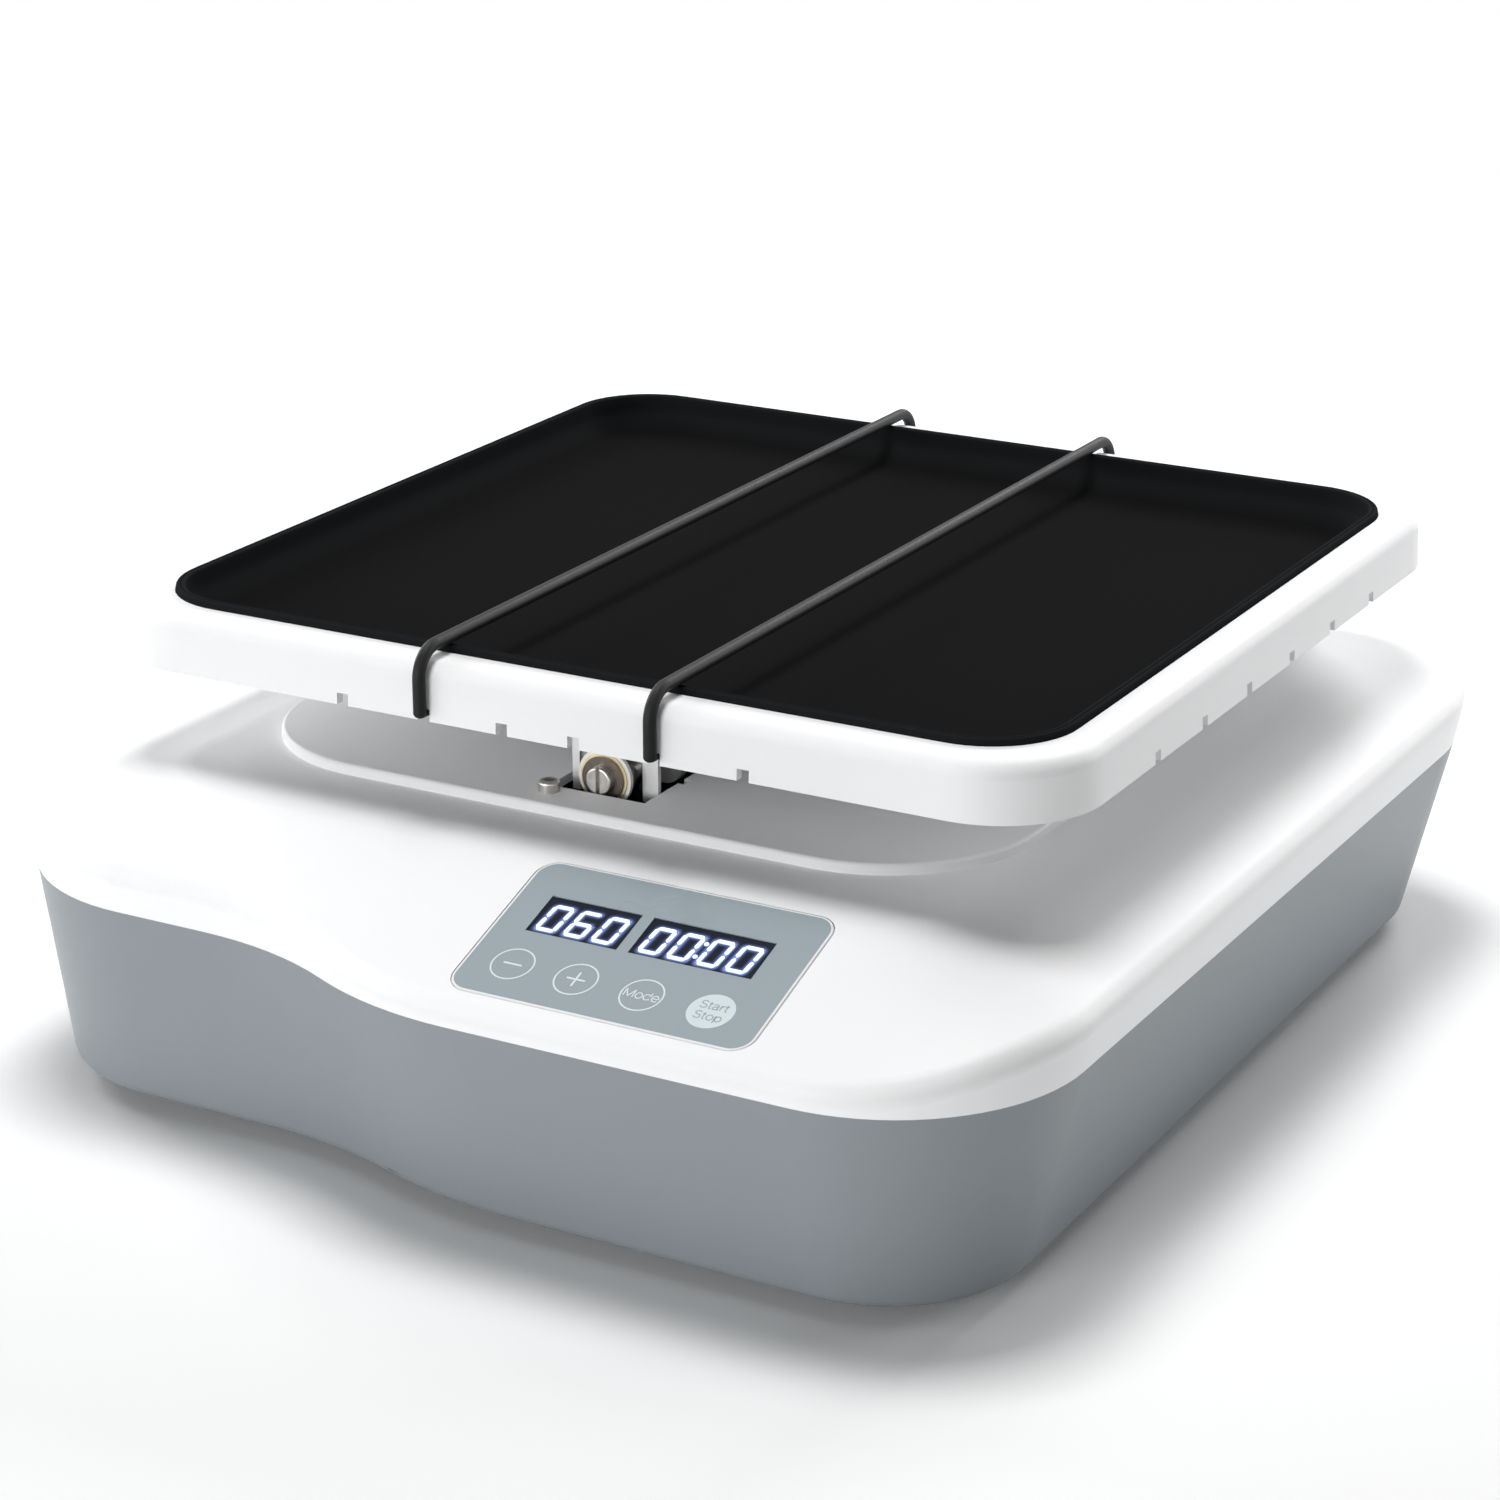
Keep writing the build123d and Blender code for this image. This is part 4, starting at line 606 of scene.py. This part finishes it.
for name, (x, y) in (("minus", MINUS), ("plus", PLUS), ("mode", MODE)):
    ink("key_ring_" + name, [bow(x, y, RING, RING, steps=72)], RING_LINE, pale_ink)
x, y = MINUS
ink("minus_mark", [[(x - MARK_REACH, y), (x + MARK_REACH, y)]], MARK_LINE, pale_ink)
x, y = PLUS
ink("plus_mark", [[(x - MARK_REACH, y), (x + MARK_REACH, y)],
                  [(x, y - MARK_REACH), (x, y - MARK_LINE / 2)],
                  [(x, y + MARK_LINE / 2), (x, y + MARK_REACH)]], MARK_LINE, pale_ink)
ink("start_key", [bow(*START, KEY / 2, KEY / 2, steps=72)], KEY, key_ink)
ink("mode_word", word_strokes("Mode", *MODE, 11.2, 3.15), LETTER_LINE, pale_ink)
x, y = START
ink("start_word", word_strokes("Start", x, y + 2.3, 8.9, 2.9), LETTER_LINE, word_ink, WORD_LIFT)
ink("stop_word", word_strokes("Stop", x, y - 2.1, 8.6, 2.9), LETTER_LINE, word_ink, WORD_LIFT)


# Rubber mat: one profile drawn round a rounded rectangle
def rounded_outline(inward, steps=14):
    """Points round the mat's plan, moved inwards; the corners keep their middles."""
    width, depth, radius = MAT_SIZE
    across, along = width / 2 - radius, depth / 2 - radius
    r = max(radius - inward, 0.3)
    slip = min(radius - inward - 0.3, 0.0)
    points = []
    for corner, (sx, sy) in enumerate(((1, 1), (-1, 1), (-1, -1), (1, -1))):
        for i in range(steps + 1):
            a = math.pi / 2 * (corner + i / steps)
            x = sx * (across + slip) + r * math.cos(a)
            y = sy * (along + slip) + r * math.sin(a)
            points.append((x * MM, (y + MAT_MIDDLE_Y) * MM))
    return points


def arc(x, z, radius, start, end, steps):
    """Profile points round a quarter or less, angles in degrees."""
    angles = [math.radians(start + (end - start) * i / steps) for i in range(steps + 1)]
    return [(x + radius * math.cos(a), z + radius * math.sin(a)) for a in angles]


def mat_profile():
    """Inset and height: outer wall, round lip with a fine groove, hollow wall, floor."""
    bead = 0.8
    profile = [(0.4, MAT_SEAT), (0.0, MAT_SEAT + 0.4), (0.0, MAT_LIP - bead - 1.0)]
    profile += arc(bead, MAT_LIP - bead, bead, 180, 90, 6)
    profile += [(1.05, MAT_LIP), (1.25, MAT_LIP - 0.4), (1.5, MAT_LIP - 0.55), (1.75, MAT_LIP - 0.4)]
    profile += [(1.95, MAT_LIP)]
    profile += arc(2.3, MAT_LIP - bead, bead, 90, 8, 6)
    profile += [(3.25, MAT_LIP - 2.6)]
    profile += arc(12.2, MAT_FLOOR + 8.8, 8.8, 180, 270, 12)[1:]
    profile += [(13.2, MAT_FLOOR)]
    return profile


def fill_mat(shape):
    """Skin of the mat: rings of the profile, closed by the floor and the underside."""
    rings = []
    for inward, height in mat_profile():
        rings.append([shape.verts.new((x, y, height * MM)) for x, y in rounded_outline(inward)])
    for low, high in zip(rings, rings[1:]):
        for i in range(len(low)):
            j = (i + 1) % len(low)
            shape.faces.new((low[i], low[j], high[j], high[i]))
    shape.faces.new(rings[0])
    shape.faces.new(rings[-1])


mat_mesh = mesh_from("rubber_tray_mat", fill_mat)
for face in mat_mesh.polygons:
    face.use_smooth = len(face.vertices) == 4
mat = piece("rubber_tray_mat", mat_mesh, mat_rubber, "rocking_platform")
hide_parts("tray_mat")


# Studio: name, place, target, size and watts of each soft lamp
LAMPS = (
    ("overhead_softbox", (-0.15, 0.1, 1.9), (0.0, 0.0, 0.08), (0.7, 0.7), 23.0),
    ("front_left_softbox", (-1.6, -1.4, 0.4), (0.0, 0.0, 0.08), (1.2, 0.6), 8.0),
    ("front_softbox", (-0.4, -2.2, 0.42), (0.0, 0.0, 0.08), (1.0, 0.5), 21.5),
    ("back_right_softbox", (1.2, 1.3, 0.5), (0.1, 0.1, 0.08), (0.9, 0.6), 10.0),
    ("left_softbox", (-1.9, 0.5, 0.9), (0.0, 0.0, 0.08), (0.9, 0.9), 20.0),
    ("back_softbox", (0.2, 1.7, 1.1), (0.0, 0.0, 0.08), (1.0, 0.6), 18.0),
)
ROOM_LIGHT = 0.06
ROOM_TINT = (0.97, 0.985, 1.0, 1.0)

for name, place, target, size, power in LAMPS:
    data = bpy.data.lights.new(name, "AREA")
    data.shape = "RECTANGLE"
    data.size, data.size_y = size
    data.energy = power
    lamp = bpy.data.objects.new(name, data)
    lamp.location = place
    aim = Vector(target) - Vector(place)
    lamp.rotation_euler = aim.to_track_quat("-Z", "Y").to_euler()
    bpy.context.scene.collection.objects.link(lamp)

world = bpy.data.worlds.new("studio")
bpy.context.scene.world = world
world.use_nodes = True
room = Graph(world.node_tree)
look = [Number(room, room.node("ShaderNodeLightPath", {}, {}).outputs[key])
        for key in ("Is Camera Ray", "Is Glossy Ray", "Is Transmission Ray")]
dim = room.node("ShaderNodeBackground", {}, {"Color": ROOM_TINT, "Strength": ROOM_LIGHT})
bright = room.node("ShaderNodeBackground", {}, {"Color": (1.0, 1.0, 1.0, 1.0), "Strength": 1.0})
both = room.node("ShaderNodeMixShader", {}, {
    0: room.high(*look), 1: dim.outputs[0], 2: bright.outputs[0]})
room.feed(room.tree.nodes["World Output"].inputs["Surface"], both.outputs[0])


FLOOR_RADIUS = 1.5
FLOOR_FADE_END = 1.4                    # the paper is gone from here outwards
FLOOR_FADE = 0.7                        # breadth of the fading band


def fill_floor(shape):
    """Flat round floor."""
    edge = bow(0.0, 0.0, FLOOR_RADIUS, FLOOR_RADIUS, steps=96)[:-1]
    shape.faces.new([shape.verts.new((x, y, 0.0)) for x, y in edge])


floor_mesh = mesh_from("studio_floor", fill_floor)
floor = bpy.data.objects.new("studio_floor", floor_mesh)
bpy.context.scene.collection.objects.link(floor)
paper = Finish("studio_paper", (0.97, 0.97, 0.97), 0.9, Specular_IOR_Level=0.0)
across, along, _ = paper.axes()
paper.set("Alpha", paper.share((FLOOR_FADE_END - paper.length(across, along)) / FLOOR_FADE))
floor_mesh.materials.append(paper.material)

bpy.context.scene.view_settings.view_transform = "Standard"
